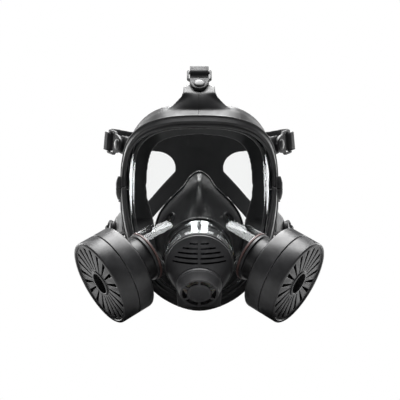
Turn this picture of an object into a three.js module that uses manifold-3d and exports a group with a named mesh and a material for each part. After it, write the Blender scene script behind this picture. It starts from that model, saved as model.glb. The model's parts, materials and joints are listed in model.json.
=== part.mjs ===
// Full-face respirator with two screw-in canister filters, built as separate pieces.
// Millimetres. X runs across the face, Y runs back towards the wearer's head and Z is up.
// The origin is in the wearer's head, level with the eyes and in line with the temples.
// "left" is the -X side, as someone facing the mask sees it.

import * as THREE from 'three';
import { mergeVertices } from 'three/addons/utils/BufferGeometryUtils.js';
import Module from 'manifold-3d';

const wasm = await Module();
wasm.setup();

// ---------------------------------------------------------------- driving dimensions

const GAP = 0.3;                 // clearance between touching pieces
const FAR = 70;                  // reach of a cutting tool that only has to go right through
const ROUND = 16;                // segments of a small full turn
const WIDE_ROUND = 24;           // and of a large one
const STATIONS = 36;             // stations around the face opening
const SIDES = { left: -1, right: 1 };

// Visor surface: an elliptic wrap across the face, bowed backwards above and below its belt.
const VISOR = { halfWidth: 80, wrap: 93, apexY: -90, bow: 0.0028, beltZ: -30, thick: 2.5 };

// Half outlines, top centre to bottom centre, mirrored to make closed rings.
// Clamping frame's centre line, as (x, z) on the visor surface.
const FRAME_HALF = [
  [0, 68], [36, 66], [57, 59], [69.5, 47], [76, 27], [77, 2],
  [74, -28], [66, -58], [52, -85], [32, -104], [0, -114.5],
];
// Outer edge of the rubber where it turns in to meet the face.
const SEAL_HALF = [
  [0, -28, 89], [38, -22, 87], [60, -8, 76], [74, 10, 58], [83, 22, 34], [87, 27, 2],
  [86, 26, -28], [77, 18, -58], [62, 2, -88], [38, -16, -110], [0, -26, -118],
];
// Edge of the opening that the face goes into.
const LIP_HALF = [
  [0, -20, 58], [30, -14, 55], [46, -2, 47.5], [53.5, 12, 35], [57, 22, 15], [57, 26, -6],
  [51, 24, -28], [46, 16, -50], [40, 2, -72], [26, -12, -88], [0, -20, -94],
];

const RUBBER_WALL = 3;
const FRAME_OUT = 6;             // frame's reach outside its centre line
const FRAME_IN = 6.5;            // and inside it
const FRAME_PROUD = 5.6;         // frame's height above the visor
const VISOR_EDGE = 2.5;          // visor's reach outside the frame's centre line

// Speech and exhalation housing, on an axis that points forward and down.
const COVER_CENTRE = new THREE.Vector3(0, -106, -75.5);
const COVER_TILT = THREE.MathUtils.degToRad(23.4);
const COVER_RADIUS = 33;
const BOSS = { outer: 34.3, inner: 31.8, front: -5, rear: -33 };
const PARTITION_AT = -22;        // housing's inner wall, behind the cover's face
const DIAPHRAGM_UP = 14;         // diaphragm's centre above the housing's axis

// Exhalation valve, tilted further down.
const EXHALE_CENTRE = new THREE.Vector3(0, -118, -100.4);
const EXHALE_TILT = THREE.MathUtils.degToRad(41);
const EXHALE_FACE_RADIUS = 18.8;
const EXHALE_BASE_RADIUS = 22;

// Filter ports: 40 mm round thread, axis out, forward and down.
const PORT_CENTRE = { x: 51.4, y: -82, z: -65.7 };
const PORT_AXIS = { x: 0.783, y: -0.436, z: -0.45 };
const THREAD_RADIUS = 20;
const COLLAR = { outer: 25.4, inner: 23.2, depth: 31 };
const CONNECTOR_END = 15;        // connector's mouth, out from the port's face

// Canister filters, placed along the port's axis from the port's face.
const FILTER = { radius: 43.6, rear: 23.5, joint: 41, front: 58, wall: 2, eye: 10.6 };
const FILTER_SLOTS = 20;

// Strap buckles: where each rivet sits, which way its strap leaves and which way it faces.
const BUCKLES = {
  top: { at: [0, -30, 107.5], along: [0, 0.743, 0.669], out: [0, -0.669, 0.743] },
  temple: { at: [85, 7, 49], along: [0.5, 0.83, 0.2], out: [0.857, -0.515, 0], root: [74, -12, 45] },
  lower: { at: [92.5, 22, -42], along: [0.2, 0.93, -0.3], out: [0.97, -0.24, 0], root: [82, -3, -33] },
};
const BUCKLE = { tongue: 8, waist: 9.6, half: 13, window: 10.8, low: 0.3, thick: 3.4, end: 24.8 };
const ROLLER = { y: 21.5, z: 2, radius: 2, pin: 0.8 };
const STRAP = { half: 9.9, thick: 1.8 };
const LUG_THICK = 4;

// ---------------------------------------------------------------- finishes

const finish = (color, roughness, metalness = 0) =>
  new THREE.MeshStandardMaterial({ color, roughness, metalness });
const FINISHES = {
  rubber: () => finish(0x1c1d1f, 0.62),
  softRubber: () => finish(0x222326, 0.55),
  plastic: () => finish(0x232427, 0.45),
  clear: () => {
    const glass = finish(0xdfe4e6, 0.06);
    glass.transparent = true;
    glass.opacity = 0.3;
    return glass;
  },
  pinkGasket: () => finish(0x9a5a58, 0.5),
  silicone: () => finish(0xb9b6ac, 0.5),
  film: () => finish(0x9aa0a3, 0.35),
  steel: () => finish(0x3a3b3d, 0.4, 0.9),
  webbing: () => finish(0x191a1c, 0.85),
  media: () => finish(0x2a2a2c, 0.9),
};

// ---------------------------------------------------------------- tools

const vec = (x, y, z) => new THREE.Vector3(x, y, z);
const fromList = (list, side = 1) => vec(list[0] * side, list[1], list[2]);
const smooth = (t) => t * t * (3 - 2 * t);

/** Keep positions only, weld shared corners and drop triangles that have no area. */
function weld(geometry) {
  const bare = geometry.index ? geometry.toNonIndexed() : geometry.clone();
  for (const name of Object.keys(bare.attributes)) {
    if (name !== 'position') bare.deleteAttribute(name);
  }
  const welded = mergeVertices(bare, 1e-4);
  const kept = [];
  const index = welded.index.array;
  for (let i = 0; i < index.length; i += 3) {
    const [a, b, c] = [index[i], index[i + 1], index[i + 2]];
    if (a !== b && b !== c && c !== a) kept.push(a, b, c);
  }
  welded.setIndex(kept);
  return welded;
}

/** Six times the enclosed volume: negative when the faces point inwards. */
function signedVolume(geometry) {
  const at = geometry.attributes.position;
  const index = geometry.index.array;
  const [a, b, c] = [vec(0, 0, 0), vec(0, 0, 0), vec(0, 0, 0)];
  let sum = 0;
  for (let i = 0; i < index.length; i += 3) {
    a.fromBufferAttribute(at, index[i]);
    b.fromBufferAttribute(at, index[i + 1]);
    c.fromBufferAttribute(at, index[i + 2]);
    sum += a.dot(b.cross(c));
  }
  return sum;
}

/** A closed body with its faces pointing out. */
function closed(geometry) {
  const body = weld(geometry);
  if (signedVolume(body) < 0) {
    const index = body.index.array;
    for (let i = 0; i < index.length; i += 3) [index[i], index[i + 1]] = [index[i + 1], index[i]];
  }
  return body;
}

function toSolid(geometry) {
  const body = closed(geometry);
  return new wasm.Manifold(new wasm.Mesh({
    numProp: 3,
    vertProperties: new Float32Array(body.attributes.position.array),
    triVerts: new Uint32Array(body.index.array),
  }));
}

function fromSolid(solid) {
  const mesh = solid.getMesh();
  const geometry = new THREE.BufferGeometry();
  geometry.setAttribute('position', new THREE.BufferAttribute(new Float32Array(mesh.vertProperties), 3));
  geometry.setIndex(Array.from(mesh.triVerts));
  return geometry;
}

const join = (...pieces) => fromSolid(pieces.map(toSolid).reduce((whole, piece) => whole.add(piece)));
const cut = (piece, ...tools) => fromSolid(
  tools.map(toSolid).reduce((whole, tool) => whole.subtract(tool), toSolid(piece)),
);

/** A body from rings of equal point counts: the ends meet (loop) or are capped by fans. */
function loft(rings, loop) {
  const count = rings[0].length;
  const positions = rings.flat().flatMap((p) => [p.x, p.y, p.z]);
  const index = [];
  const at = (ring, point) => (ring % rings.length) * count + (point % count);
  const spans = loop ? rings.length : rings.length - 1;
  for (let r = 0; r < spans; r++) {
    for (let p = 0; p < count; p++) {
      index.push(at(r, p), at(r + 1, p), at(r + 1, p + 1));
      index.push(at(r, p), at(r + 1, p + 1), at(r, p + 1));
    }
  }
  if (!loop) {
    for (const [ring, turned] of [[0, true], [rings.length - 1, false]]) {
      const middle = rings[ring].reduce((sum, p) => sum.add(p), vec(0, 0, 0)).divideScalar(count);
      const hub = positions.length / 3;
      positions.push(middle.x, middle.y, middle.z);
      for (let p = 0; p < count; p++) {
        const rim = [at(ring, p), at(ring, p + 1)];
        index.push(hub, ...(turned ? rim : rim.reverse()));
      }
    }
  }
  const geometry = new THREE.BufferGeometry();
  geometry.setAttribute('position', new THREE.Float32BufferAttribute(positions, 3));
  geometry.setIndex(index);
  return closed(geometry);
}

/** A turned body about local Z from a closed or axis-to-axis profile of [radius, z] pairs. */
function turned(profile, segments = ROUND) {
  const points = profile.map(([radius, z]) => new THREE.Vector2(radius, z));
  const geometry = new THREE.LatheGeometry(points, segments);
  geometry.rotateX(Math.PI / 2);
  return closed(geometry);
}

const ring = (inner, outer, low, high, segments = ROUND) =>
  turned([[inner, low], [outer, low], [outer, high], [inner, high], [inner, low]], segments);
const disc = (radius, low, high, segments = ROUND) =>
  turned([[0, low], [radius, low], [radius, high], [0, high]], segments);

/** An outline in local XY pushed from z = low to z = high. */
function plate(shape, low, high, curveSegments = 6) {
  const geometry = new THREE.ExtrudeGeometry(shape, {
    depth: high - low, bevelEnabled: false, curveSegments,
  });
  geometry.translate(0, 0, low);
  return closed(geometry);
}

function rectangle(x0, y0, x1, y1) {
  return new THREE.Shape([
    new THREE.Vector2(x0, y0), new THREE.Vector2(x1, y0),
    new THREE.Vector2(x1, y1), new THREE.Vector2(x0, y1),
  ]);
}

/** A local frame whose Z is `out` and whose Y is `up` made square to it. */
function frameAt(origin, out, up) {
  const z = out.clone().normalize();
  const y = up.clone().addScaledVector(z, -up.dot(z)).normalize();
  const x = new THREE.Vector3().crossVectors(y, z);
  return new THREE.Matrix4().makeBasis(x, y, z).setPosition(origin);
}

const placed = (geometry, frame) => geometry.clone().applyMatrix4(frame);

const group = new THREE.Group();
function add(name, geometry, material) {
  const mesh = new THREE.Mesh(geometry, FINISHES[material]());
  mesh.name = name;
  group.add(mesh);
}

// ---------------------------------------------------------------- reference frames and curves

const UP = vec(0, 0, 1);
const coverAxis = vec(0, -Math.cos(COVER_TILT), -Math.sin(COVER_TILT));
const coverFrame = frameAt(COVER_CENTRE, coverAxis, UP);
const exhaleAxis = vec(0, -Math.cos(EXHALE_TILT), -Math.sin(EXHALE_TILT));
const exhaleFrame = frameAt(EXHALE_CENTRE, exhaleAxis, UP);

function portFrame(side) {
  const axis = vec(PORT_AXIS.x * side, PORT_AXIS.y, PORT_AXIS.z);
  return frameAt(vec(PORT_CENTRE.x * side, PORT_CENTRE.y, PORT_CENTRE.z), axis, UP);
}

/** Point on the visor's outer surface straight in front of (x, z). */
function visorPoint(x, z) {
  const across = Math.asin(x / VISOR.halfWidth);
  const bow = VISOR.bow * (z - VISOR.beltZ) ** 2;
  return vec(x, VISOR.apexY + VISOR.wrap * (1 - Math.cos(across)) + bow, z);
}

function visorNormal(x, z) {
  const across = Math.asin(x / VISOR.halfWidth);
  const slope = 2 * VISOR.bow * (z - VISOR.beltZ);
  const forward = VISOR.halfWidth * Math.cos(across);
  return vec(VISOR.wrap * Math.sin(across), -forward, slope * forward).normalize();
}

/** Closed curve from the half outline from top centre to bottom centre. */
function mirroredRing(half) {
  const right = half.map((p) => vec(...p));
  const left = right.slice(1, -1).reverse().map((p) => vec(-p.x, p.y, p.z));
  return new THREE.CatmullRomCurve3([...right, ...left], true, 'centripetal');
}

const frameOutline = mirroredRing(FRAME_HALF.map(([x, z]) => [x, 0, z]));
const sealRing = mirroredRing(SEAL_HALF);
const lipRing = mirroredRing(LIP_HALF);

/** Frame's centre line: its point, the visor's normal and the outward way along the surface. */
function frameStation(u) {
  const flat = frameOutline.getPoint(u);
  const step = 1e-3;
  const ahead = frameOutline.getPoint((u + step) % 1);
  const point = visorPoint(flat.x, flat.z);
  const tangent = visorPoint(ahead.x, ahead.z).sub(point).normalize();
  const normal = visorNormal(flat.x, flat.z);
  const outward = new THREE.Vector3().crossVectors(normal, tangent).normalize();
  const offset = (b, n) => point.clone().addScaledVector(outward, b).addScaledVector(normal, n);
  return { point, normal, outward, offset };
}

// ---------------------------------------------------------------- visor

/** Rings of points from the belt's centre out to the visor's edge, sunk by `depth`. */
function visorGrid(depth, rings = 4) {
  const steepest = THREE.MathUtils.degToRad(75);
  const centreZ = -20;
  const grid = [];
  for (let r = 1; r <= rings; r++) {
    const reach = Math.sin((r / rings) * steepest) / Math.sin(steepest);
    const row = [];
    for (let i = 0; i < STATIONS; i++) {
      const edge = frameStation(i / STATIONS).offset(VISOR_EDGE, 0);
      const x = edge.x * reach;
      const z = centreZ + (edge.z - centreZ) * reach;
      row.push(visorPoint(x, z).addScaledVector(visorNormal(x, z), -depth));
    }
    grid.push(row);
  }
  return grid;
}

/** Everything behind the middle of the visor's sheet, which trims the collars' rear ends. */
function behindVisor() {
  const front = visorGrid(VISOR.thick / 2);
  const backY = 60;
  const back = front[front.length - 1].map((p) => vec(p.x, backY, p.z));
  return loft([...front, back], false);
}

function visor() {
  const outer = visorGrid(0);
  const inner = visorGrid(VISOR.thick);
  const sheet = loft([...outer, ...inner.reverse()], false);
  const behind = behindVisor();
  const collars = [];
  const bores = [];
  for (const side of Object.values(SIDES)) {
    const frame = portFrame(side);
    collars.push(cut(placed(disc(COLLAR.outer, -COLLAR.depth, 0), frame), behind));
    bores.push(placed(disc(COLLAR.inner, -COLLAR.depth - 1, 10), frame));
  }
  const boss = cut(placed(disc(BOSS.outer, BOSS.rear, BOSS.front, WIDE_ROUND), coverFrame), behind);
  const bossBore = placed(disc(BOSS.inner, BOSS.rear - 20, 10, WIDE_ROUND), coverFrame);
  return cut(join(cut(join(sheet, ...collars), ...bores), boss), bossBore);
}

// ---------------------------------------------------------------- clamping frame

const FRAME_LIFT = 0.45;         // clearance between the frame and the visor's edge
const BAND_REAR = 4;             // band's reach behind the visor's face
// Across the band: raised outer ridge, shallow face and a low inner lip, as [outwards, off the visor].
const FRAME_SECTION = [
  [FRAME_OUT, -BAND_REAR], [FRAME_OUT, 4.8], [FRAME_OUT - 0.8, FRAME_PROUD], [3.9, FRAME_PROUD],
  [3.1, 4.8], [-2.6, 5], [-3.6, 2.9], [-FRAME_IN, 2.3], [-FRAME_IN, FRAME_LIFT],
  [VISOR_EDGE + FRAME_LIFT, FRAME_LIFT], [VISOR_EDGE + FRAME_LIFT, -BAND_REAR],
];
const FRAME_SPLIT = 0.001;       // half gap between the two halves, as a share of the ring
const EAR = { x: 83, y: -13.5, z: 2, radius: 5.2, tip: 3, reach: 12.5, taper: 8 };
const SCREW = { radius: 1.5, head: 2.5, headHeight: 2 };

function frameHalf(from, to) {
  const steps = STATIONS / 2;
  const rings = [];
  for (let i = 0; i <= steps; i++) {
    const station = frameStation((from + ((to - from) * i) / steps + 1) % 1);
    rings.push(FRAME_SECTION.map(([b, n]) => station.offset(b, n)));
  }
  return loft(rings, false);
}

/** Lumps at the frame's sides where its two halves are screwed together. */
function ear(side, up) {
  const past = 3;                // trimmed back to the seam afterwards
  const low = up > 0 ? -past : -EAR.reach;
  const high = up > 0 ? EAR.reach : past;
  const wide = EAR.radius;
  const narrow = EAR.tip;
  const [r0, r1] = up > 0 ? [wide, narrow] : [narrow, wide];
  const middle = up > 0 ? high - EAR.taper : low + EAR.taper;
  const body = turned([[0, low], [r0, low], [wide, middle], [r1, high], [0, high]], 14);
  return body.translate(EAR.x * side, EAR.y, EAR.z);
}

/** The far side of the seam between the halves, which an ear stays out of. */
function beyondSeam(side, up) {
  const reach = 20;
  const rings = [-FRAME_SPLIT, 0.04, 0.08].map((step) => {
    const u = 0.25 + step * up;
    const station = frameStation(side > 0 ? u : 1 - u);
    return [[-reach, -reach], [reach, -reach], [reach, reach], [-reach, reach]]
      .map(([b, n]) => station.offset(b, n));
  });
  return loft(rings, false);
}

function screwHole(side) {
  return disc(SCREW.radius + GAP, -2 * EAR.reach, EAR.reach - 3, 12).translate(EAR.x * side, EAR.y, EAR.z);
}

function visorFrame(up) {
  const turn = up > 0 ? [-0.25, 0.25] : [0.25, 0.75];
  const band = frameHalf(turn[0] + FRAME_SPLIT, turn[1] - FRAME_SPLIT);
  const ears = Object.values(SIDES).map((side) => cut(ear(side, up), insideBand(), beyondSeam(side, up)));
  const reliefs = Object.values(SIDES).map(
    (side) => placed(disc(COLLAR.outer + GAP, -COLLAR.depth, 10), portFrame(side)),
  );
  const holes = Object.values(SIDES).map((side) => screwHole(side));
  return cut(join(band, ...ears), ...holes, ...reliefs);
}

/** Everything inside and behind the band, which its ears stay clear of. */
function insideBand() {
  const edge = VISOR_EDGE + GAP;
  const deep = 30;
  const rings = [];
  for (let i = 0; i < STATIONS; i++) {
    const station = frameStation(i / STATIONS);
    rings.push([
      station.offset(-deep, GAP), station.offset(edge, GAP), station.offset(edge, -BAND_REAR),
      station.offset(8, -BAND_REAR), station.offset(8, -deep), station.offset(-deep, -deep),
    ]);
  }
  return loft(rings, true);
}

function frameScrew(side) {
  const low = -EAR.reach - GAP;
  const profile = [
    [0, low - SCREW.headHeight], [SCREW.head, low - SCREW.headHeight], [SCREW.head, low],
    [SCREW.radius, low], [SCREW.radius, EAR.reach - 4], [0, EAR.reach - 4],
  ];
  return turned(profile, 14).translate(EAR.x * side, EAR.y, EAR.z);
}

// ---------------------------------------------------------------- buckle places

function buckleFrame(kind, side) {
  const spec = BUCKLES[kind];
  return frameAt(fromList(spec.at, side), fromList(spec.out, side), fromList(spec.along, side));
}

const BUCKLE_PLACES = [
  ['top', buckleFrame('top', 1)],
  ...['temple', 'lower'].flatMap((kind) => Object.entries(SIDES).map(
    ([name, side]) => [`${kind}_${name}`, buckleFrame(kind, side)],
  )),
];

// ---------------------------------------------------------------- rubber facepiece

/** Wall section at one station: front bead, outer wall, rolled edge, sealing lip, inner wall. */
function facepieceSection(u) {
  const station = frameStation(u);
  const seal = sealRing.getPoint(u);
  const lip = lipRing.getPoint(u);
  const inward = vec(lip.x - seal.x, 0, lip.z - seal.z).normalize();
  const rim = station.offset(FRAME_OUT + 1.5, -4.9);
  const bulge = rim.clone().lerp(seal, 0.5).addScaledVector(inward, -2.5);
  const into = inward.clone().multiplyScalar(RUBBER_WALL);
  const roll = seal.clone().lerp(lip, 0.2).add(vec(0, 3, 0));
  return [
    station.offset(-4, -VISOR.thick - 1.15), station.offset(VISOR_EDGE, -VISOR.thick - 1.15),
    station.offset(VISOR_EDGE, -4.9), rim, bulge, seal, roll,
    lip, lip.clone().add(vec(0, -2.2, 0)),
    seal.clone().add(into).add(vec(0, -3, 0)),
    bulge.clone().add(into), station.offset(-4, -7.5),
  ];
}

// Top lug: [distance past the rivet, half width] up to its rounded end.
const LUG_TONGUE = [[-10, 17.3], [-5, 16.5], [0, 16.3], [3.5, 13.5]];
const LUG_SPREAD = 0.115;        // share of the ring that each side of the flare covers
const LUG_PULL = { foot: 38, tongue: 17 };   // how firmly the flare leaves the wall and meets the tongue

/** Lug above the forehead that flares down and out into the facepiece's wall. */
function topLug() {
  const rivetAt = fromList(BUCKLES.top.at);
  const along = fromList(BUCKLES.top.along);
  const inwards = fromList(BUCKLES.top.out).multiplyScalar(-LUG_THICK);
  const shares = [-1, -0.75, -0.5, -0.25, 0, 0.25, 0.5, 0.75, 1];
  const across = (reach, half) => shares.map(
    (share) => rivetAt.clone().addScaledVector(along, reach).add(vec(share * half, 0, 0)),
  );
  const feet = shares.map((share) => facepieceFoot(share));
  const tops = across(...LUG_TONGUE[0]);
  const flare = [0, 0.17, 0.34, 0.5, 0.67, 0.84].map((t) => shares.map((share, i) => {
    const leave = vec(-share, 0, 0.1 + 0.25 * (1 - Math.abs(share))).multiplyScalar(LUG_PULL.foot);
    const meet = along.clone().multiplyScalar(LUG_PULL.tongue);
    return hermite(feet[i], leave, tops[i], meet, t);
  }));
  const skins = [...flare, ...LUG_TONGUE.map(([reach, half]) => across(reach, half))];
  return loft(skins.map((skin) => [...skin, ...skin.map((p) => p.clone().add(inwards)).reverse()]), false);
}

/** Point on the wall where the top lug's flare starts, sunk a little into the rubber. */
function facepieceFoot(share) {
  const [, , , rim, bulge] = facepieceSection((share * LUG_SPREAD + 1) % 1);
  return rim.clone().lerp(bulge, 0.75).add(vec(0, 1.2, -1));
}

/** Cubic between two points that leaves and arrives along the two pulls. */
function hermite(from, leave, to, meet, t) {
  return from.clone().multiplyScalar((1 + 2 * t) * (1 - t) ** 2)
    .addScaledVector(leave, t * (1 - t) ** 2)
    .addScaledVector(to, t * t * (3 - 2 * t))
    .addScaledVector(meet, t * t * (t - 1));
}

// Side lugs: [distance past the rivet, half width], after a root sunk in the wall.
const SIDE_LUG_ROOT_HALF = 13;
const SIDE_LUG_TONGUE = [[-12, 10.5], [0, 10], [5, 8.6], [8.5, 5]];

/** Tongue-shaped lug that rises from the facepiece's side wall to its buckle. */
function sideLug(kind, side) {
  const frame = buckleFrame(kind, side);
  const across = new THREE.Vector3().setFromMatrixColumn(frame, 0);
  const along = new THREE.Vector3().setFromMatrixColumn(frame, 1);
  const out = new THREE.Vector3().setFromMatrixColumn(frame, 2);
  const rivetAt = new THREE.Vector3().setFromMatrixColumn(frame, 3);
  const tongue = SIDE_LUG_TONGUE.map(
    ([reach, half]) => [rivetAt.clone().addScaledVector(along, reach), half],
  );
  const stations = [[fromList(BUCKLES[kind].root, side), SIDE_LUG_ROOT_HALF], ...tongue];
  const rings = stations.map(([centre, half]) => {
    const corner = (a, depth) => centre.clone()
      .addScaledVector(across, a * half).addScaledVector(out, -depth);
    return [corner(-1, 0), corner(1, 0), corner(1, LUG_THICK), corner(-1, LUG_THICK)];
  });
  return loft(rings, false);
}

function facepiece() {
  const rings = [];
  for (let i = 0; i < STATIONS; i++) rings.push(facepieceSection(i / STATIONS));
  const lugs = ['temple', 'lower'].flatMap(
    (kind) => Object.values(SIDES).map((side) => sideLug(kind, side)),
  );
  const holes = BUCKLE_PLACES.map(([, frame]) => placed(disc(2.6, -LUG_THICK - 5, 5, 12), frame));
  return cut(join(loft(rings, true), topLug(), ...lugs), ...holes);
}

// ---------------------------------------------------------------- buckles and straps

function buckleOutline() {
  const { tongue, waist, half, end } = BUCKLE;
  const shape = new THREE.Shape();
  shape.absarc(0, 0, tongue, Math.PI * 1.12, Math.PI * 1.88, false);
  shape.lineTo(waist, 3);
  shape.lineTo(waist, 6);
  shape.lineTo(half, 9.5);
  shape.lineTo(half, end - 2);
  shape.lineTo(half - 2, end);
  shape.lineTo(BUCKLE.window, end);
  shape.lineTo(BUCKLE.window, 10.5);
  shape.lineTo(-BUCKLE.window, 10.5);
  shape.lineTo(-BUCKLE.window, end);
  shape.lineTo(-half + 2, end);
  shape.lineTo(-half, end - 2);
  shape.lineTo(-half, 9.5);
  shape.lineTo(-waist, 6);
  shape.lineTo(-waist, 3);
  const hole = new THREE.Path();
  hole.absarc(0, 0, 2.6, 0, Math.PI * 2, true);
  shape.holes.push(hole);
  return shape;
}

/** A bar along local X through the roller's axis. */
function crossBar(radius, half, segments = 12) {
  return disc(radius, -half, half, segments).rotateY(Math.PI / 2).translate(0, ROLLER.y, ROLLER.z);
}

function buckle() {
  const body = plate(buckleOutline(), BUCKLE.low, BUCKLE.low + BUCKLE.thick, 5);
  return cut(body, crossBar(ROLLER.pin + GAP, BUCKLE.half + 2, 8));
}

function roller() {
  return join(crossBar(ROLLER.radius, BUCKLE.window - GAP), crossBar(ROLLER.pin, BUCKLE.half - 0.4, 8));
}

/** Strap doubled back round the roller, in the buckle's frame. */
function strapLoop() {
  const bend = ROLLER.radius + GAP + STRAP.thick / 2;
  const ends = { inner: 30, outer: 28 };
  const path = [[ends.inner, ROLLER.z - bend]];
  const turns = 6;
  for (let i = 0; i <= turns; i++) {
    const angle = -Math.PI / 2 - (Math.PI * i) / turns;
    path.push([ROLLER.y + bend * Math.cos(angle), ROLLER.z + bend * Math.sin(angle)]);
  }
  path.push([ends.outer, ROLLER.z + bend]);
  return ribbonSection(path);
}

/** A strap of constant thickness whose side view follows `path` of [y, z] points. */
function ribbonSection(path) {
  const points = path.map(([y, z]) => new THREE.Vector2(y, z));
  const sides = [[], []];
  points.forEach((point, i) => {
    const before = points[Math.max(i - 1, 0)];
    const after = points[Math.min(i + 1, points.length - 1)];
    const way = after.clone().sub(before).normalize();
    const square = new THREE.Vector2(-way.y, way.x).multiplyScalar(STRAP.thick / 2);
    sides[0].push(point.clone().add(square));
    sides[1].unshift(point.clone().sub(square));
  });
  const outline = new THREE.Shape([...sides[0], ...sides[1]]);
  const geometry = new THREE.ExtrudeGeometry(outline, { depth: STRAP.half * 2, bevelEnabled: false });
  geometry.applyMatrix4(new THREE.Matrix4().makeBasis(vec(0, 1, 0), vec(0, 0, 1), vec(1, 0, 0)));
  geometry.translate(-STRAP.half, 0, 0);
  return closed(geometry);
}

function rivet() {
  const top = BUCKLE.low + BUCKLE.thick + GAP;
  const bottom = -LUG_THICK - GAP;
  return turned([
    [0, bottom - 1.4], [5, bottom - 1.4], [5, bottom], [2.2, bottom], [2.2, top],
    [5.9, top], [4.6, top + 1.3], [0, top + 1.9],
  ], 12);
}

function addBuckles() {
  for (const [name, frame] of BUCKLE_PLACES) {
    add(`buckle_frame_${name}`, placed(buckle(), frame), 'plastic');
    add(`buckle_roller_${name}`, placed(roller(), frame), 'steel');
    add(`buckle_rivet_${name}`, placed(rivet(), frame), 'plastic');
    add(`strap_loop_${name}`, placed(strapLoop(), frame), 'webbing');
  }
}

// ---------------------------------------------------------------- head harness

const HARNESS_THICK = 2.2;
const ARM_START = 32.5;          // past the rivet: the strap loops end at 30
const LOWER_ARM_HALF = 8.6;
const PAD_Y = 95;
// Half outline of the pad, top to bottom: [height, half width], waisted between the arms.
const PAD_OUTLINE = [
  [76, 14], [70, 19], [65.5, 30], [61, 50], [47, 50], [44.2, 42], [41.5, 36.5], [36.5, 31],
  [28, 28], [20, 29.2], [13, 34], [4, 43], [-2, 37], [-8, 31],
];
/** Depth of the pad's middle layer: bowed across and leaning forward above the arms. */
const padDepth = (x, z) => PAD_Y - 0.001 * x * x - 0.0104 * Math.max(0, z - 50) ** 2;

/** A flat strap through `points`, its width lying along `wide` at each end. */
function strapAlong(points, wide, half, steps = 14) {
  const curve = new THREE.CatmullRomCurve3(points.map((p) => vec(...p)), false, 'centripetal');
  const ends = wide.map((p) => vec(...p));
  const rings = [];
  for (let i = 0; i <= steps; i++) {
    const share = i / steps;
    const centre = curve.getPoint(share);
    const tangent = curve.getTangent(share);
    const across = ends[0].clone().lerp(ends[1], smooth(share));
    across.addScaledVector(tangent, -across.dot(tangent)).normalize();
    const square = new THREE.Vector3().crossVectors(tangent, across);
    const reach = THREE.MathUtils.lerp(half[0], half[1], share);
    const corner = (a, b) => centre.clone()
      .addScaledVector(across, a * reach).addScaledVector(square, (b * HARNESS_THICK) / 2);
    rings.push([corner(-1, -1), corner(1, -1), corner(1, 1), corner(-1, 1)]);
  }
  return loft(rings, false);
}

/** Waisted sheet at the back of the head that the five arms spread from. */
function harnessPad() {
  const shares = [-1, -0.7, -0.35, 0, 0.35, 0.7, 1];
  const rings = PAD_OUTLINE.map(([z, half]) => {
    const layer = (offset) => shares.map(
      (share) => vec(share * half, padDepth(share * half, z) + offset, z),
    );
    return [...layer(-HARNESS_THICK / 2), ...layer(HARNESS_THICK / 2).reverse()];
  });
  return loft(rings, false);
}

/** A point in a buckle's frame, for the strap that leaves it. */
const inBuckle = (frame, y, z) => vec(0, y, z).applyMatrix4(frame);

/** One arm from its buckle to the pad; `wide` is the buckle's cross direction. */
function harnessArm(kind, side, start, wide) {
  if (kind === 'top') {
    const path = [start, [0, 25, 122], [0, 62, 103], [0, 88, 76], [0, PAD_Y, 50]];
    return strapAlong(path, [wide, [1, 0, 0]], [STRAP.half, 13]);
  }
  if (kind === 'temple') {
    const path = [
      start, [99 * side, 58, 60], [78 * side, 82, 58], [48 * side, 92.7, 55.2], [12 * side, PAD_Y, 54],
    ];
    return strapAlong(path, [wide, [0, 0, 1]], [STRAP.half, 9.8]);
  }
  const path = [
    start, [92 * side, 62, -45], [73 * side, 79, -38], [51.7 * side, 90, -16], [36 * side, 93.5, 2],
    [15 * side, PAD_Y, 24],
  ];
  return strapAlong(path, [wide, [0.66 * side, 0, 0.75]], [LOWER_ARM_HALF, LOWER_ARM_HALF]);
}

function harness() {
  const strapZ = ROLLER.z - ROLLER.radius - GAP - STRAP.thick / 2;
  const arms = BUCKLE_PLACES.map(([name, frame]) => {
    const kind = name.split('_')[0];
    const side = frame.elements[12] < 0 ? -1 : 1;
    const wide = new THREE.Vector3().setFromMatrixColumn(frame, 0);
    if (kind !== 'top') wide.multiplyScalar(Math.sign(wide.z));
    return harnessArm(kind, side, inBuckle(frame, ARM_START, strapZ).toArray(), wide.toArray());
  });
  return join(harnessPad(), ...arms);
}

// ---------------------------------------------------------------- nose cup

// Half outlines, top to bottom: the rim against the face, the shoulder, and the neck's start.
const CUP_RIM = [
  [0, -28, 18], [9, -26, 13], [16, -21, 3], [25, -14, -6], [34, -6, -15], [42.5, 1, -28],
  [46.5, 2, -46], [42.5, -3, -67], [26, -13, -83], [0, -18, -88],
];
const CUP_SHOULDER = [
  [0, -51, 7], [6, -49, 3], [12.5, -45, -4], [21, -42, -13], [31, -40, -22], [38, -41, -34],
  [38, -44, -52], [31, -46, -69], [17, -50, -82], [0, -52, -86],
];
const CUP_WALL = 2.2;
const CUP_NECK = { radius: 28.9, front: -32, rear: -42.5 };
const CUP_VALVE = { x: 30, y: -48.5, z: -31.5, out: [0.76, -0.52, 0.39], radius: 9 };

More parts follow.
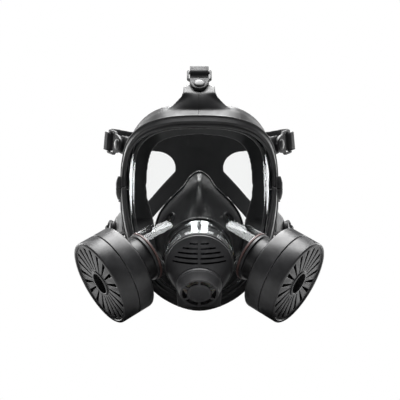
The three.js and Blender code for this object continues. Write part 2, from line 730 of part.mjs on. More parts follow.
function noseCup() {
  const rim = mirroredRing(CUP_RIM);
  const shoulder = mirroredRing(CUP_SHOULDER);
  const rings = [];
  for (let i = 0; i < STATIONS; i++) {
    const u = i / STATIONS;
    const angle = Math.PI / 2 - u * Math.PI * 2;
    const neck = (radius, t) => vec(radius * Math.cos(angle), radius * Math.sin(angle), t)
      .applyMatrix4(coverFrame);
    const a = rim.getPoint(u);
    const b = shoulder.getPoint(u);
    const hub = vec(0, (a.y + b.y) / 2, -40);
    const inside = (p) => p.clone().addScaledVector(hub.clone().sub(p).setY(0).normalize(), CUP_WALL);
    rings.push([
      neck(CUP_NECK.radius, CUP_NECK.front), neck(CUP_NECK.radius, CUP_NECK.rear),
      b, a, inside(a).add(vec(0, 0.5, 0)), inside(b).add(vec(0, 1.5, 0)),
      neck(CUP_NECK.radius - CUP_WALL, CUP_NECK.rear - 1), neck(CUP_NECK.radius - CUP_WALL, CUP_NECK.front),
    ]);
  }
  const holes = Object.values(SIDES).map(
    (side) => placed(disc(CUP_VALVE.radius, -20, 20, 16), valveFrame(side)),
  );
  return cut(loft(rings, true), ...holes);
}

function valveFrame(side) {
  const { x, y, z, out } = CUP_VALVE;
  return frameAt(vec(x * side, y, z), fromList(out, side), UP);
}

// ---------------------------------------------------------------- small check valves

const STEM_RADIUS = 1.1;

/** Ring with two crossed spokes and a hub that a valve disc's stem passes through. */
function spokedSeat(inner, outer, low, high, spokeLow, spokeHigh, segments = ROUND) {
  const spoke = (turn) => plate(rectangle(-inner - 0.8, -1, inner + 0.8, 1), spokeLow, spokeHigh)
    .rotateZ(turn);
  const hub = disc(3, spokeLow, spokeHigh, 8);
  const body = join(ring(inner, outer, low, high, segments), spoke(Math.PI / 4), spoke(-Math.PI / 4), hub);
  return cut(body, disc(STEM_RADIUS + GAP, spokeLow - 5, spokeHigh + 5, 6));
}

/** Thin flexible disc on a stem. `lift` is +1 when it opens towards +Z. */
function valveDisc(radius, seatFace, thick, stemLength, lift) {
  const far = seatFace + thick * lift;
  const stemEnd = seatFace - stemLength * lift;
  const [low, high] = [Math.min(seatFace, far), Math.max(seatFace, far)];
  const [stemLow, stemHigh] = lift > 0 ? [stemEnd, low + thick / 2] : [high - thick / 2, stemEnd];
  return join(disc(radius, low, high, 18), disc(STEM_RADIUS, stemLow, stemHigh, 6));
}

function addNoseCupValves() {
  const seat = spokedSeat(6.6, CUP_VALVE.radius - GAP, -2.4, 2, -1, 0.6, 16);
  const leaf = valveDisc(7.6, -2.7, 0.6, 3, -1);
  for (const [name, side] of Object.entries(SIDES)) {
    add(`nose_cup_valve_seat_${name}`, placed(seat, valveFrame(side)), 'plastic');
    add(`nose_cup_valve_disc_${name}`, placed(leaf, valveFrame(side)), 'silicone');
  }
}

// ---------------------------------------------------------------- speech housing

const HOUSING = { outer: BOSS.inner - 0.4, wall: 2, rear: -41, front: BOSS.front - GAP };
const LOCK_RING = { outer: 34.4, rear: -41, front: -39 };
const HOUSING_GASKET = { inner: BOSS.inner + 0.2, outer: BOSS.outer - 0.4, rear: -4.7, front: -3.7 };
const PARTITION_THICK = 2;
const DIAPHRAGM = { hole: 10.5, radius: 12.4, thick: 0.6 };
const BREATH = { radius: 10, down: 17 };   // way through the partition to the exhalation valve

const diaphragmAt = (geometry) => placed(geometry.translate(0, DIAPHRAGM_UP, 0), coverFrame);

function speechHousing() {
  const { outer, wall, rear, front } = HOUSING;
  const tube = ring(outer - wall, outer, rear, front, WIDE_ROUND);
  const partition = disc(outer - wall / 2, PARTITION_AT, PARTITION_AT + PARTITION_THICK, WIDE_ROUND);
  const voice = disc(DIAPHRAGM.hole, -FAR, 0).translate(0, DIAPHRAGM_UP, 0);
  const breath = disc(BREATH.radius, -FAR, 0).translate(0, -BREATH.down, 0);
  return placed(cut(join(tube, partition), voice, breath), coverFrame);
}

function addSpeechHousing() {
  const face = PARTITION_AT + PARTITION_THICK + GAP;
  const film = face + DIAPHRAGM.thick;
  const lock = ring(HOUSING.outer + GAP, LOCK_RING.outer, LOCK_RING.rear, LOCK_RING.front, WIDE_ROUND);
  const { inner, outer, rear, front } = HOUSING_GASKET;
  const clamp = ring(DIAPHRAGM.hole, DIAPHRAGM.radius + 1, film + GAP, film + 2);
  add('speech_housing', speechHousing(), 'plastic');
  add('housing_lock_ring', placed(lock, coverFrame), 'plastic');
  add('housing_gasket', placed(ring(inner, outer, rear, front, WIDE_ROUND), coverFrame), 'softRubber');
  add('speech_diaphragm', diaphragmAt(disc(DIAPHRAGM.radius, face, film)), 'film');
  add('diaphragm_ring', diaphragmAt(clamp), 'plastic');
}

// ---------------------------------------------------------------- front cover

const EXHALE_BORE = 17.2;
const COVER_WALL = 2.6;
const COVER_REAR = -3.4;
const NOSE = { rim: -1.4, radius: 22.6, top: -10.8 };
const BASE = { rear: -44, front: -10, skirt: 29, recess: 18.3, recessDepth: 12 };

// Louvre rows across the nose, top row first: height and half span of each.
const LOUVRE = { top: -52.8, pitch: 4.64, height: 1.9, rib: 1.3, front: 135, rear: 100 };
const LOUVRE_REACH = [9.5, 16, 20.6, 24, 26];

/** One louvre slot to the right of the centre rib: its outer end curves up with the row's sag. */
function louvreSlot(row) {
  const middle = LOUVRE.top - row * LOUVRE.pitch;
  const reach = LOUVRE_REACH[row];
  const sag = 0.5 * (row + 1);
  const [low, high] = [middle - LOUVRE.height / 2, middle + LOUVRE.height / 2];
  const shape = new THREE.Shape();
  shape.moveTo(LOUVRE.rib, low);
  shape.quadraticCurveTo(reach / 2, low, reach, low + sag);
  shape.lineTo(reach, high + sag * 0.7);
  shape.quadraticCurveTo(reach / 2, high, LOUVRE.rib, high);
  return plate(shape, LOUVRE.rear, LOUVRE.front, 2).rotateX(Math.PI / 2);
}

/** Blunt cone that leans out from the cover's round rim to the exhalation valve's base. */
function coverNose(inset) {
  const round = (radius, depth, frame) => Array.from({ length: STATIONS }, (_, i) => {
    const angle = (i / STATIONS) * Math.PI * 2;
    return vec(radius * Math.cos(angle), radius * Math.sin(angle), depth).applyMatrix4(frame);
  });
  const rim = COVER_RADIUS - inset;
  return loft([
    round(rim, COVER_REAR - inset * 2, coverFrame),
    round(rim, NOSE.rim - inset * 0.6, coverFrame),
    round(NOSE.radius - inset, NOSE.top - inset, exhaleFrame),
  ], false);
}

/** Arched base under the exhalation valve, with straight sides that run down to the chin. */
function exhaleBase() {
  const half = EXHALE_BASE_RADIUS;
  const shape = new THREE.Shape();
  shape.absarc(0, 0, half, 0, Math.PI, false);
  shape.lineTo(-half + 1, -BASE.skirt);
  shape.lineTo(half - 1, -BASE.skirt);
  const block = placed(plate(shape, BASE.rear, BASE.front, 6), exhaleFrame);
  return cut(block, placed(disc(FAR, -FAR, -COVER_WALL), coverFrame));
}

function frontCover() {
  const slots = [];
  for (let row = 0; row < LOUVRE_REACH.length; row++) {
    const slot = louvreSlot(row);
    slots.push(slot, slot.clone().applyMatrix4(new THREE.Matrix4().makeScale(-1, 1, 1)));
  }
  const shell = cut(coverNose(0), coverNose(COVER_WALL), ...slots);
  const bore = placed(disc(EXHALE_BORE, -FAR, 0), exhaleFrame);
  const recess = placed(disc(BASE.recess, -BASE.recessDepth, 0), exhaleFrame);
  return cut(join(shell, exhaleBase()), bore, recess);
}

// ---------------------------------------------------------------- exhalation valve

const EXHALE_SEAT = { inner: 14.6, rear: -24, face: -10.2, flange: 18 };
const EXHALE_SLOTS = { count: 6, inner: 12, outer: 16.3, bar: 1.1 };

function exhaleSeat() {
  const { inner, rear, face, flange } = EXHALE_SEAT;
  const barrel = spokedSeat(inner, EXHALE_BORE - GAP, rear, face, -14, -11.6);
  return placed(join(barrel, ring(inner, flange, face - 1.5, face)), exhaleFrame);
}

/** Arc slot between two radii, centred on local angle `middle`. */
function arcSlot(inner, outer, middle, halfAngle, low, high) {
  const shape = new THREE.Shape();
  shape.absarc(0, 0, outer, middle - halfAngle, middle + halfAngle, false);
  shape.absarc(0, 0, inner, middle + halfAngle, middle - halfAngle, true);
  return plate(shape, low, high, 4);
}

function exhaleCover() {
  const rear = EXHALE_SEAT.face + 0.5;
  const shell = turned([
    [0, 0], [EXHALE_FACE_RADIUS - 0.8, 0], [EXHALE_FACE_RADIUS, -0.8], [21.2, -8.6], [21.7, rear],
    [19.6, rear], [EXHALE_FACE_RADIUS - 2, -2], [0, -2],
  ], WIDE_ROUND);
  const { count, inner, outer, bar } = EXHALE_SLOTS;
  const slots = [];
  for (let i = 0; i < count; i++) {
    const middle = (Math.PI * 2 * (i + 0.5)) / count + Math.PI / 2;
    slots.push(arcSlot(inner, outer, middle, Math.PI / count - bar / inner, -5, 5));
  }
  return placed(cut(shell, ...slots), exhaleFrame);
}

function addFrontCover() {
  add('front_cover', frontCover(), 'plastic');
  add('exhalation_valve_seat', exhaleSeat(), 'plastic');
  const leaf = valveDisc(16, EXHALE_SEAT.face + GAP, 0.8, 5, 1);
  add('exhalation_valve_disc', placed(leaf, exhaleFrame), 'silicone');
  add('exhalation_valve_cover', exhaleCover(), 'plastic');
}

// ---------------------------------------------------------------- filter ports

const SEAT = { inner: 14, low: -1.5, high: 2 };

function portConnector() {
  const bore = THREAD_RADIUS + 0.4;
  const shell = turned([
    [SEAT.inner, SEAT.high], [bore, SEAT.high], [bore, CONNECTOR_END], [22.4, CONNECTOR_END], [22.4, 5.4],
    [24.6, 5.4], [24.6, 2.6], [22.8, 2.6], [22.8, SEAT.low], [SEAT.inner, SEAT.low],
    [SEAT.inner, SEAT.high],
  ]);
  return join(shell, spokedSeat(SEAT.inner - 1, SEAT.inner + 1, SEAT.low, SEAT.high - 1, SEAT.low, 0.5));
}

function addPorts() {
  const connector = portConnector();
  const seal = ring(23.4, 25.2, GAP, 2.3);
  const leaf = valveDisc(17, SEAT.low - GAP, 0.7, 3.4, -1);
  for (const [name, side] of Object.entries(SIDES)) {
    const frame = portFrame(side);
    add(`port_connector_${name}`, placed(connector, frame), 'plastic');
    add(`port_gasket_${name}`, placed(seal, frame), 'pinkGasket');
    add(`inhalation_valve_disc_${name}`, placed(leaf, frame), 'silicone');
  }
}

// ---------------------------------------------------------------- canister filters

const STEM_BORE = 16.5;
const SHOULDER = CONNECTOR_END + 2.3;

function filterHousing() {
  const { radius, rear, joint, wall } = FILTER;
  const stem = THREAD_RADIUS - 0.3;
  return turned([
    [STEM_BORE, 4], [stem, 4], [stem, SHOULDER], [23.4, SHOULDER], [23.4, rear], [radius - 1.4, rear],
    [radius, rear + 1.4], [radius, joint - GAP], [radius - wall, joint - GAP],
    [radius - wall, rear + wall], [STEM_BORE, rear + wall], [STEM_BORE, 4],
  ], WIDE_ROUND);
}

function filterFrontCover() {
  const { radius, joint, front, wall, eye } = FILTER;
  const face = front - 1.4;
  const inner = radius - wall;
  const cupDepth = 12;
  const shell = turned([
    [0, face - cupDepth], [eye, face - cupDepth], [eye, front - 0.4], [eye + 2.4, front - 0.4],
    [eye + 2.8, face], [radius - 3.4, face], [radius - 3, front], [radius - 1.2, front],
    [radius, front - 1.2], [radius, joint + GAP], [inner, joint + GAP], [inner, face - wall],
    [eye + 1.3, face - wall], [eye + 1.3, face - cupDepth - 1.2], [0, face - cupDepth - 1.2],
  ], WIDE_ROUND);
  const slots = [];
  for (let i = 0; i < FILTER_SLOTS; i++) {
    const slot = plate(rectangle(eye + 4.4, -1.1, inner - 3.4, 1.1), face - wall - 2, front + 2);
    slots.push(slot.rotateZ((Math.PI * 2 * i) / FILTER_SLOTS));
  }
  return cut(shell, ...slots);
}

function addFilters() {
  const housing = filterHousing();
  const cover = filterFrontCover();
  const gasket = ring(THREAD_RADIUS + 0.2, 23, CONNECTOR_END + GAP, SHOULDER - GAP);
  const media = disc(FILTER.radius - FILTER.wall - GAP, FILTER.rear + FILTER.wall + GAP, 43, WIDE_ROUND);
  for (const [name, side] of Object.entries(SIDES)) {
    const frame = portFrame(side);
    add(`filter_gasket_${name}`, placed(gasket, frame), 'softRubber');
    add(`filter_housing_${name}`, placed(housing, frame), 'plastic');
    add(`filter_front_cover_${name}`, placed(cover, frame), 'plastic');
    add(`filter_media_${name}`, placed(media, frame), 'media');
  }
}

// ---------------------------------------------------------------- assembly

add('facepiece', facepiece(), 'rubber');
add('visor', visor(), 'clear');
add('visor_frame_upper', visorFrame(1), 'plastic');
add('visor_frame_lower', visorFrame(-1), 'plastic');
for (const [name, side] of Object.entries(SIDES)) add(`frame_screw_${name}`, frameScrew(side), 'steel');
add('nose_cup', noseCup(), 'softRubber');
addNoseCupValves();
addSpeechHousing();
addFrontCover();
addPorts();
addFilters();
addBuckles();
add('head_harness', harness(), 'softRubber');

export default group;
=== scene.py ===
"""Looks of the full-face respirator with two canister filters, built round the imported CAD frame.

Shapes are worked out in millimetres and written as metres. X runs across the face, Y runs back
towards the wearer's head and Z is up. "left" is the -X side.
"""

import json
import math

import bmesh
import bpy
import numpy as np
from mathutils import Matrix, Vector


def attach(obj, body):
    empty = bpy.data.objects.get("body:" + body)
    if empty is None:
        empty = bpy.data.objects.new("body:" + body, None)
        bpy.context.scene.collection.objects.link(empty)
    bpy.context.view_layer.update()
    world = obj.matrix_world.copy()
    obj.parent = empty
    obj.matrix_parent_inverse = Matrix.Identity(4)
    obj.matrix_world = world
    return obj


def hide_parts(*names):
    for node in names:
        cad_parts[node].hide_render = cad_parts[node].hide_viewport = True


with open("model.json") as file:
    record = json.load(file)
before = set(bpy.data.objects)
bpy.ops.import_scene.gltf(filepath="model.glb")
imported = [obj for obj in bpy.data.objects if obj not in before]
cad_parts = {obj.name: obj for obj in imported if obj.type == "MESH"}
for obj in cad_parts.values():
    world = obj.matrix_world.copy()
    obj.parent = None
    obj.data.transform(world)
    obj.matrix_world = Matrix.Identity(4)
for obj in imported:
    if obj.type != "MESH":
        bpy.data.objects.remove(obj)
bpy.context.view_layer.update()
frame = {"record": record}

# ---------------------------------------------------------------- driving dimensions (mm)

MM = 0.001
GAP = 0.3
SIDES = {"left": -1, "right": 1}
ROUND = 96                       # segments of a turned piece
STATIONS = 144                   # stations around the face opening

VISOR = {"half_width": 80, "wrap": 93, "apex_y": -90, "bow": 0.0028, "belt_z": -30, "thick": 2.5}
VISOR_CENTRE_Z = -20
VISOR_EDGE = 2.5

FRAME_HALF = [
    (0, 0, 68), (36, 0, 66), (57, 0, 59), (69.5, 0, 47), (76, 0, 27), (77, 0, 2),
    (74, 0, -28), (66, 0, -58), (52, 0, -85), (32, 0, -104), (0, 0, -114.5),
]
SEAL_HALF = [
    (0, -28, 89), (38, -22, 87), (60, -8, 76), (74, 10, 58), (83, 22, 34), (87, 27, 2),
    (86, 26, -28), (77, 18, -58), (62, 2, -88), (38, -16, -110), (0, -26, -118),
]
LIP_HALF = [
    (0, -20, 58), (30, -14, 55), (46, -2, 47.5), (53.5, 12, 35), (57, 22, 15), (57, 26, -6),
    (51, 24, -28), (46, 16, -50), (40, 2, -72), (26, -12, -88), (0, -20, -94),
]
RUBBER_WALL = 3
FRAME_OUT = 6
FRAME_IN = 6.5
FRAME_PROUD = 5.6
FRAME_LIFT = 0.45

COVER_CENTRE = (0, -106, -75.5)
COVER_TILT = math.radians(23.4)
COVER_RADIUS = 33
BOSS = {"outer": 34.3, "inner": 31.8, "front": -5, "rear": -33}
DIAPHRAGM_UP = 14
EXHALE_CENTRE = (0, -118, -100.4)
EXHALE_TILT = math.radians(41)
EXHALE_FACE = 18.8
EXHALE_BASE = 22
EXHALE_BORE = 17.2

PORT_CENTRE = (51.4, -82, -65.7)
PORT_AXIS = (0.783, -0.436, -0.45)
THREAD = 20
COLLAR = {"outer": 25.4, "inner": 23.2, "depth": 31}
CONNECTOR_END = 15
FILTER = {"radius": 43.6, "rear": 23.5, "joint": 41, "front": 58, "wall": 2, "eye": 10.6}

BUCKLES = {
    "top": {"at": (0, -30, 107.5), "along": (0, 0.743, 0.669), "out": (0, -0.669, 0.743)},
    "temple": {
        "at": (85, 7, 49), "along": (0.5, 0.83, 0.2), "out": (0.857, -0.515, 0),
        "root": (74, -12, 45),
    },
    "lower": {
        "at": (92.5, 22, -42), "along": (0.2, 0.93, -0.3), "out": (0.97, -0.24, 0),
        "root": (82, -3, -33),
    },
}
BUCKLE = {"tongue": 8, "waist": 9.6, "half": 13, "window": 10.8, "low": 0.3, "thick": 3.4, "end": 24.8}
ROLLER = {"y": 21.5, "z": 2, "radius": 2, "pin": 0.8}
STRAP = {"half": 9.9, "thick": 1.8}
LUG_THICK = 4

# ---------------------------------------------------------------- curves and reference frames


def unit(v):
    v = np.asarray(v, float)
    return v / np.linalg.norm(v)


def mirrored(v, side):
    return np.array([v[0] * side, v[1], v[2]], float)


def spline(p0, p1, p2, p3, t):
    """Centripetal Catmull-Rom point between p1 and p2."""
    d0, d1, d2 = (max(np.linalg.norm(b - a) ** 0.5, 1e-4) for a, b in ((p0, p1), (p1, p2), (p2, p3)))
    m1 = ((p1 - p0) / d0 - (p2 - p0) / (d0 + d1) + (p2 - p1) / d1) * d1
    m2 = ((p2 - p1) / d1 - (p3 - p1) / (d1 + d2) + (p3 - p2) / d2) * d1
    c2 = -3 * p1 + 3 * p2 - 2 * m1 - m2
    c3 = 2 * p1 - 2 * p2 + m1 + m2
    return p1 + m1 * t + c2 * t * t + c3 * t ** 3


def ring_curve(half):
    """Closed curve through a half outline from top to bottom and its mirror image."""
    right = [np.array(p, float) for p in half]
    points = right + [p * (-1, 1, 1) for p in reversed(right[1:-1])]
    count = len(points)

    def at(u):
        place = (u % 1.0) * count
        first = int(place) % count
        near = [points[(first + k) % count] for k in (-1, 0, 1, 2)]
        return spline(*near, place - int(place))

    return at


def open_curve(points, samples):
    """Points along a smooth open curve that passes through every point given."""
    p = [np.array(q, float) for q in points]
    p = [2 * p[0] - p[1], *p, 2 * p[-1] - p[-2]]
    spans = len(p) - 3
    made = []
    for k in range(samples + 1):
        place = min(spans * k / samples, spans - 1e-9)
        i = int(place)
        made.append(spline(p[i], p[i + 1], p[i + 2], p[i + 3], place - i))
    return made


def frame_at(origin, out, up):
    """Matrix whose Z is `out` and whose Y is `up` made square to it."""
    z = unit(out)
    y = unit(np.asarray(up, float) - z * np.dot(up, z))
    x = np.cross(y, z)
    m = np.eye(4)
    m[:3, 0], m[:3, 1], m[:3, 2], m[:3, 3] = x, y, z, origin
    return m


def moved(points, m):
    p = np.asarray(points, float).reshape(-1, 3)
    return p @ m[:3, :3].T + m[:3, 3]


UP = (0, 0, 1)
cover_frame = frame_at(COVER_CENTRE, (0, -math.cos(COVER_TILT), -math.sin(COVER_TILT)), UP)
exhale_frame = frame_at(EXHALE_CENTRE, (0, -math.cos(EXHALE_TILT), -math.sin(EXHALE_TILT)), UP)
frame_outline = ring_curve(FRAME_HALF)
seal_ring = ring_curve(SEAL_HALF)
lip_ring = ring_curve(LIP_HALF)


def port_frame(side):
    return frame_at(mirrored(PORT_CENTRE, side), mirrored(PORT_AXIS, side), UP)


def buckle_frame(kind, side):
    spec = BUCKLES[kind]
    return frame_at(*(mirrored(spec[k], side) for k in ("at", "out", "along")))


BUCKLE_PLACES = [("top", "top", 1)] + [
    (f"{kind}_{name}", kind, side) for kind in ("temple", "lower") for name, side in SIDES.items()
]


def visor_point(x, z):
    across = math.asin(x / VISOR["half_width"])
    bow = VISOR["bow"] * (z - VISOR["belt_z"]) ** 2
    return np.array([x, VISOR["apex_y"] + VISOR["wrap"] * (1 - math.cos(across)) + bow, z])


def visor_normal(x, z):
    across = math.asin(x / VISOR["half_width"])
    forward = VISOR["half_width"] * math.cos(across)
    slope = 2 * VISOR["bow"] * (z - VISOR["belt_z"])
    return unit((VISOR["wrap"] * math.sin(across), -forward, slope * forward))


def station(u):
    """offset(b, n) at one place on the frame's centre line: b outwards, n off the visor."""
    flat, ahead = frame_outline(u), frame_outline(u + 1e-3)
    point = visor_point(flat[0], flat[2])
    tangent = unit(visor_point(ahead[0], ahead[2]) - point)
    normal = visor_normal(flat[0], flat[2])
    outward = unit(np.cross(normal, tangent))
    return lambda b, n: point + outward * b + normal * n


# ---------------------------------------------------------------- mesh tools

body_of_node = {n: b for b, ns in frame["record"]["behaviour"]["bodies"].items() for n in ns}


def new_piece(name, points, faces):
    """Mesh object from points in millimetres, with its faces pointing out."""
    mesh = bpy.data.meshes.new(name)
    mesh.from_pydata([tuple(float(c) * MM for c in p) for p in points], [], faces)
    bm = bmesh.new()
    bm.from_mesh(mesh)
    bmesh.ops.remove_doubles(bm, verts=bm.verts, dist=1e-7)
    bmesh.ops.recalc_face_normals(bm, faces=bm.faces)
    bm.to_mesh(mesh)
    bm.free()
    obj = bpy.data.objects.new(name, mesh)
    bpy.context.scene.collection.objects.link(obj)
    return obj


def lofted(name, rings, loop=False):
    """Body from rings of equal point counts: the ends meet (loop) or are closed."""
    count, rows = len(rings[0]), len(rings)
    faces = []
    for r in range(rows if loop else rows - 1):
        s = (r + 1) % rows
        for p in range(count):
            q = (p + 1) % count
            faces.append((r * count + p, s * count + p, s * count + q, r * count + q))
    if not loop:
        faces.append(tuple(range(count)))
        faces.append(tuple((rows - 1) * count + p for p in reversed(range(count))))
    return new_piece(name, [p for ring in rings for p in ring], faces)


def turned(name, profile, m, segments=ROUND):
    """Turned body about the frame's Z from a closed or axis-to-axis (radius, z) profile."""
    rings = []
    for k in range(segments):
        a = 2 * math.pi * k / segments
        rings.append(moved([(r * math.cos(a), r * math.sin(a), z) for r, z in profile], m))
    count = len(profile)
    open_ends = profile[0][0] < 1e-6 and profile[-1][0] < 1e-6
    faces = []
    for k in range(segments):
        s = (k + 1) % segments
        for p in range(count - 1 if open_ends else count):
            q = (p + 1) % count
            quad = (k * count + p, s * count + p, s * count + q, k * count + q)
            if open_ends and p == 0:
                quad = (p, s * count + q, k * count + q)
            elif open_ends and q == count - 1:
                quad = (k * count + p, s * count + p, q)
            faces.append(quad)
    obj = new_piece(name, [p for ring in rings for p in ring], faces)
    loose = bmesh.new()
    loose.from_mesh(obj.data)
    bmesh.ops.delete(loose, geom=[v for v in loose.verts if not v.link_faces], context="VERTS")
    loose.to_mesh(obj.data)
    loose.free()
    return obj


def ring(name, inner, outer, low, high, m, segments=ROUND):
    return turned(name, [(inner, low), (outer, low), (outer, high), (inner, high)], m, segments)


def disc(name, radius, low, high, m, segments=ROUND):
    return turned(name, [(0, low), (radius, low), (radius, high), (0, high)], m, segments)


def plate(name, outline, holes, low, high, m, round_edge=0.3):
    """Flat plate with holes, its edges rounded, pushed from z = low to z = high."""
    curve = bpy.data.curves.new(name, "CURVE")
    curve.dimensions = "2D"
    curve.fill_mode = "BOTH"
    curve.extrude = ((high - low) / 2 - round_edge) * MM
    curve.bevel_depth = round_edge * MM
    curve.bevel_resolution = 2
    curve.offset = -round_edge * MM
    for points in [outline, *holes]:
        poly = curve.splines.new("POLY")
        poly.points.add(len(points) - 1)
        poly.use_cyclic_u = True
        for at, (x, y) in zip(poly.points, points):
            at.co = (x * MM, y * MM, 0, 1)
    maker = bpy.data.objects.new(name, curve)
    bpy.context.scene.collection.objects.link(maker)
    bpy.context.view_layer.update()
    mesh = bpy.data.meshes.new_from_object(maker.evaluated_get(bpy.context.evaluated_depsgraph_get()))
    bpy.data.objects.remove(maker)
    bpy.data.curves.remove(curve)
    place = Matrix(m.tolist())
    place.translation = place.translation * MM
    mesh.transform(Matrix.Translation((0, 0, (low + high) / 2 * MM)))
    mesh.transform(place)
    bm = bmesh.new()
    bm.from_mesh(mesh)
    bmesh.ops.remove_doubles(bm, verts=bm.verts, dist=2e-6)
    bmesh.ops.recalc_face_normals(bm, faces=bm.faces)
    bm.to_mesh(mesh)
    bm.free()
    mesh.name = name
    obj = bpy.data.objects.new(name, mesh)
    bpy.context.scene.collection.objects.link(obj)
    return obj


def baked(obj):
    """Turns an object's modifiers into plain mesh."""
    bpy.context.view_layer.update()
    evaluated = obj.evaluated_get(bpy.context.evaluated_depsgraph_get())
    mesh = bpy.data.meshes.new_from_object(evaluated)
    old = obj.data
    obj.modifiers.clear()
    obj.data = mesh
    bpy.data.meshes.remove(old)
    mesh.name = obj.name
    return obj


def boolean(obj, operation, tools):
    for tool in tools:
        step = obj.modifiers.new(operation, "BOOLEAN")
        step.operation = operation
        step.solver = "EXACT"
        step.object = tool
    baked(obj)
    for tool in tools:
        bpy.data.objects.remove(tool)
    return obj


def carved(obj, *tools):
    return boolean(obj, "DIFFERENCE", tools)


def united(obj, *others):
    return boolean(obj, "UNION", others)


def together(name, *objs):
    """One object from several closed bodies, kept as they are."""
    bm = bmesh.new()
    for obj in objs:
        bm.from_mesh(obj.data)
        bpy.data.objects.remove(obj)
    mesh = bpy.data.meshes.new(name)
    bm.to_mesh(mesh)
    bm.free()
    whole = bpy.data.objects.new(name, mesh)
    bpy.context.scene.collection.objects.link(whole)
    return whole


def rounded(obj, width, segments=3, angle=32):
    step = obj.modifiers.new("round", "BEVEL")
    step.width = width * MM
    step.segments = segments
    step.limit_method = "ANGLE"
    step.angle_limit = math.radians(angle)
    step.use_clamp_overlap = True
    return baked(obj)


def moulded(obj, voxel, smoothing):
    """Closes overlapping bodies into one soft skin, as rubber flows round its corners."""
    step = obj.modifiers.new("skin", "REMESH")
    step.mode = "VOXEL"
    step.voxel_size = voxel * MM
    soft = obj.modifiers.new("soften", "SMOOTH")
    soft.factor = 0.5
    soft.iterations = smoothing
    return baked(obj)


def shaded(obj, angle=38):
    mesh = obj.data
    mesh.polygons.foreach_set("use_smooth", [True] * len(mesh.polygons))
    mesh.set_sharp_from_angle(angle=math.radians(angle))
    return obj


def put(obj, material, slot, *nodes, angle=38):
    """Gives a finished mesh its material and sets it on the body of the CAD nodes it stands for."""
    shaded(obj, angle)
    obj.data.materials.clear()
    obj.data.materials.append(material)
    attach(obj, body_of_node[nodes[0]])
    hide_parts(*nodes)
    return obj


def arc(radius, start, end, steps, centre=(0, 0)):
    """Points from angle `start` to `end`, in degrees."""
    made = []
    for k in range(steps + 1):
        a = math.radians(start + (end - start) * k / steps)
        made.append((centre[0] + radius * math.cos(a), centre[1] + radius * math.sin(a)))
    return made


def circle(radius, steps=ROUND):
    return arc(radius, 0, 360, steps)[:-1]

# ---------------------------------------------------------------- materials


class Nodes:
    """Short way to build a material's node tree."""

    def __init__(self, name):
        self.material = bpy.data.materials.new(name)
        self.material.use_nodes = True
        self.tree = self.material.node_tree
        self.shader = self.tree.nodes["Principled BSDF"]
        self.output = self.tree.nodes["Material Output"]
        self.place = self.tree.nodes.new("ShaderNodeTexCoord").outputs["Object"]

    def add(self, kind, links=(), **values):
        node = self.tree.nodes.new(f"ShaderNode{kind}")
        for key, value in values.items():
            setattr(node, key, value)
        for socket, source in dict(links).items():
            if hasattr(source, "is_output"):
                self.tree.links.new(source, node.inputs[socket])
            else:
                node.inputs[socket].default_value = source
        return node

    def set(self, **values):
        for key, value in values.items():
            self.shader.inputs[key.replace("_", " ")].default_value = value

    def link(self, source, socket):
        self.tree.links.new(source, self.shader.inputs[socket])

    def noise(self, scale, detail=3, rough=0.5):
        links = {"Vector": self.place, "Scale": scale, "Detail": detail, "Roughness": rough}
        return self.add("TexNoise", links).outputs["Fac"]

    def spread(self, value, low, high, start=0.3, end=0.7):
        """Maps a 0..1 pattern to low..high."""
        links = {"Value": value, 1: start, 2: end, 3: low, 4: high}
        return self.add("MapRange", links).outputs["Result"]

    def ramp(self, value, *stops):
        node = self.add("ValToRGB", {"Fac": value})
        elements = node.color_ramp.elements
        while len(elements) < len(stops):
            elements.new(0.5)
        for element, (position, colour) in zip(elements, stops):
            element.position = position
            element.color = (*colour, 1)
        return node.outputs["Color"]

    def maths(self, operation, a, b=0.0):
        return self.add("Math", {0: a, 1: b}, operation=operation).outputs["Value"]

    def mixed(self, factor, a, b):
        node = self.add("Mix", {}, data_type="RGBA")
        for socket, source in ((node.inputs[0], factor), (node.inputs[6], a), (node.inputs[7], b)):
            if hasattr(source, "is_output"):
                self.tree.links.new(source, socket)
            elif isinstance(source, tuple):
                socket.default_value = (*source, 1)
            else:
                socket.default_value = source
        return node.outputs[2]

    def bump(self, height, strength, distance, under=None):
        links = {"Height": height, "Strength": strength, "Distance": distance}
        if under is not None:
            links["Normal"] = under
        return self.add("Bump", links).outputs["Normal"]


def moulded_finish(name, dark, light, rough, grain, bump, worn=(0.12, 0.12, 0.125), specular=0.5, sheen=0.0):
    """Black moulded surface: cloudy tone, fine grain, uneven gloss, paler rubbed edges and dust."""
    n = Nodes(name)
    clouds = n.noise(28, 4)
    tone = n.ramp(clouds, (0.3, dark), (0.72, light))
    rubbed = n.add("NewGeometry").outputs["Pointiness"]
    edge = n.spread(rubbed, 0, 1, 0.53, 0.62)
    patchy = n.spread(n.noise(140, 2), 0.15, 0.75)
    tone = n.mixed(n.maths("MULTIPLY", edge, patchy), tone, worn)
    n.link(tone, "Base Color")
    fine = n.noise(grain, 2, 0.6)
    n.link(n.spread(n.noise(90, 3), rough - 0.06, rough + 0.07), "Roughness")
    pores = n.bump(fine, bump, 0.00006)
    n.link(n.bump(n.noise(grain / 14, 3), bump * 0.5, 0.0002, pores), "Normal")
    n.set(Specular_IOR_Level=specular, Sheen_Weight=sheen, Sheen_Roughness=0.45)
    return n


def rubber_material():
    n = moulded_finish(
        "black_rubber", (0.006, 0.006, 0.007), (0.014, 0.014, 0.015),
        0.42, 2400, 0.25, sheen=0.02,
    )
    # raised mould line down the middle of the forehead lug
    split = n.add("SeparateXYZ", {"Vector": n.place})
    line = n.spread(n.maths("ABSOLUTE", split.outputs["X"]), 1, 0, 0.0003, 0.0011)
    high = n.spread(split.outputs["Z"], 0, 1, 0.074, 0.078)
    under = n.shader.inputs["Normal"].links[0].from_socket
    n.link(n.bump(n.maths("MULTIPLY", line, high), 0.7, 0.0006, under), "Normal")
    return n.material


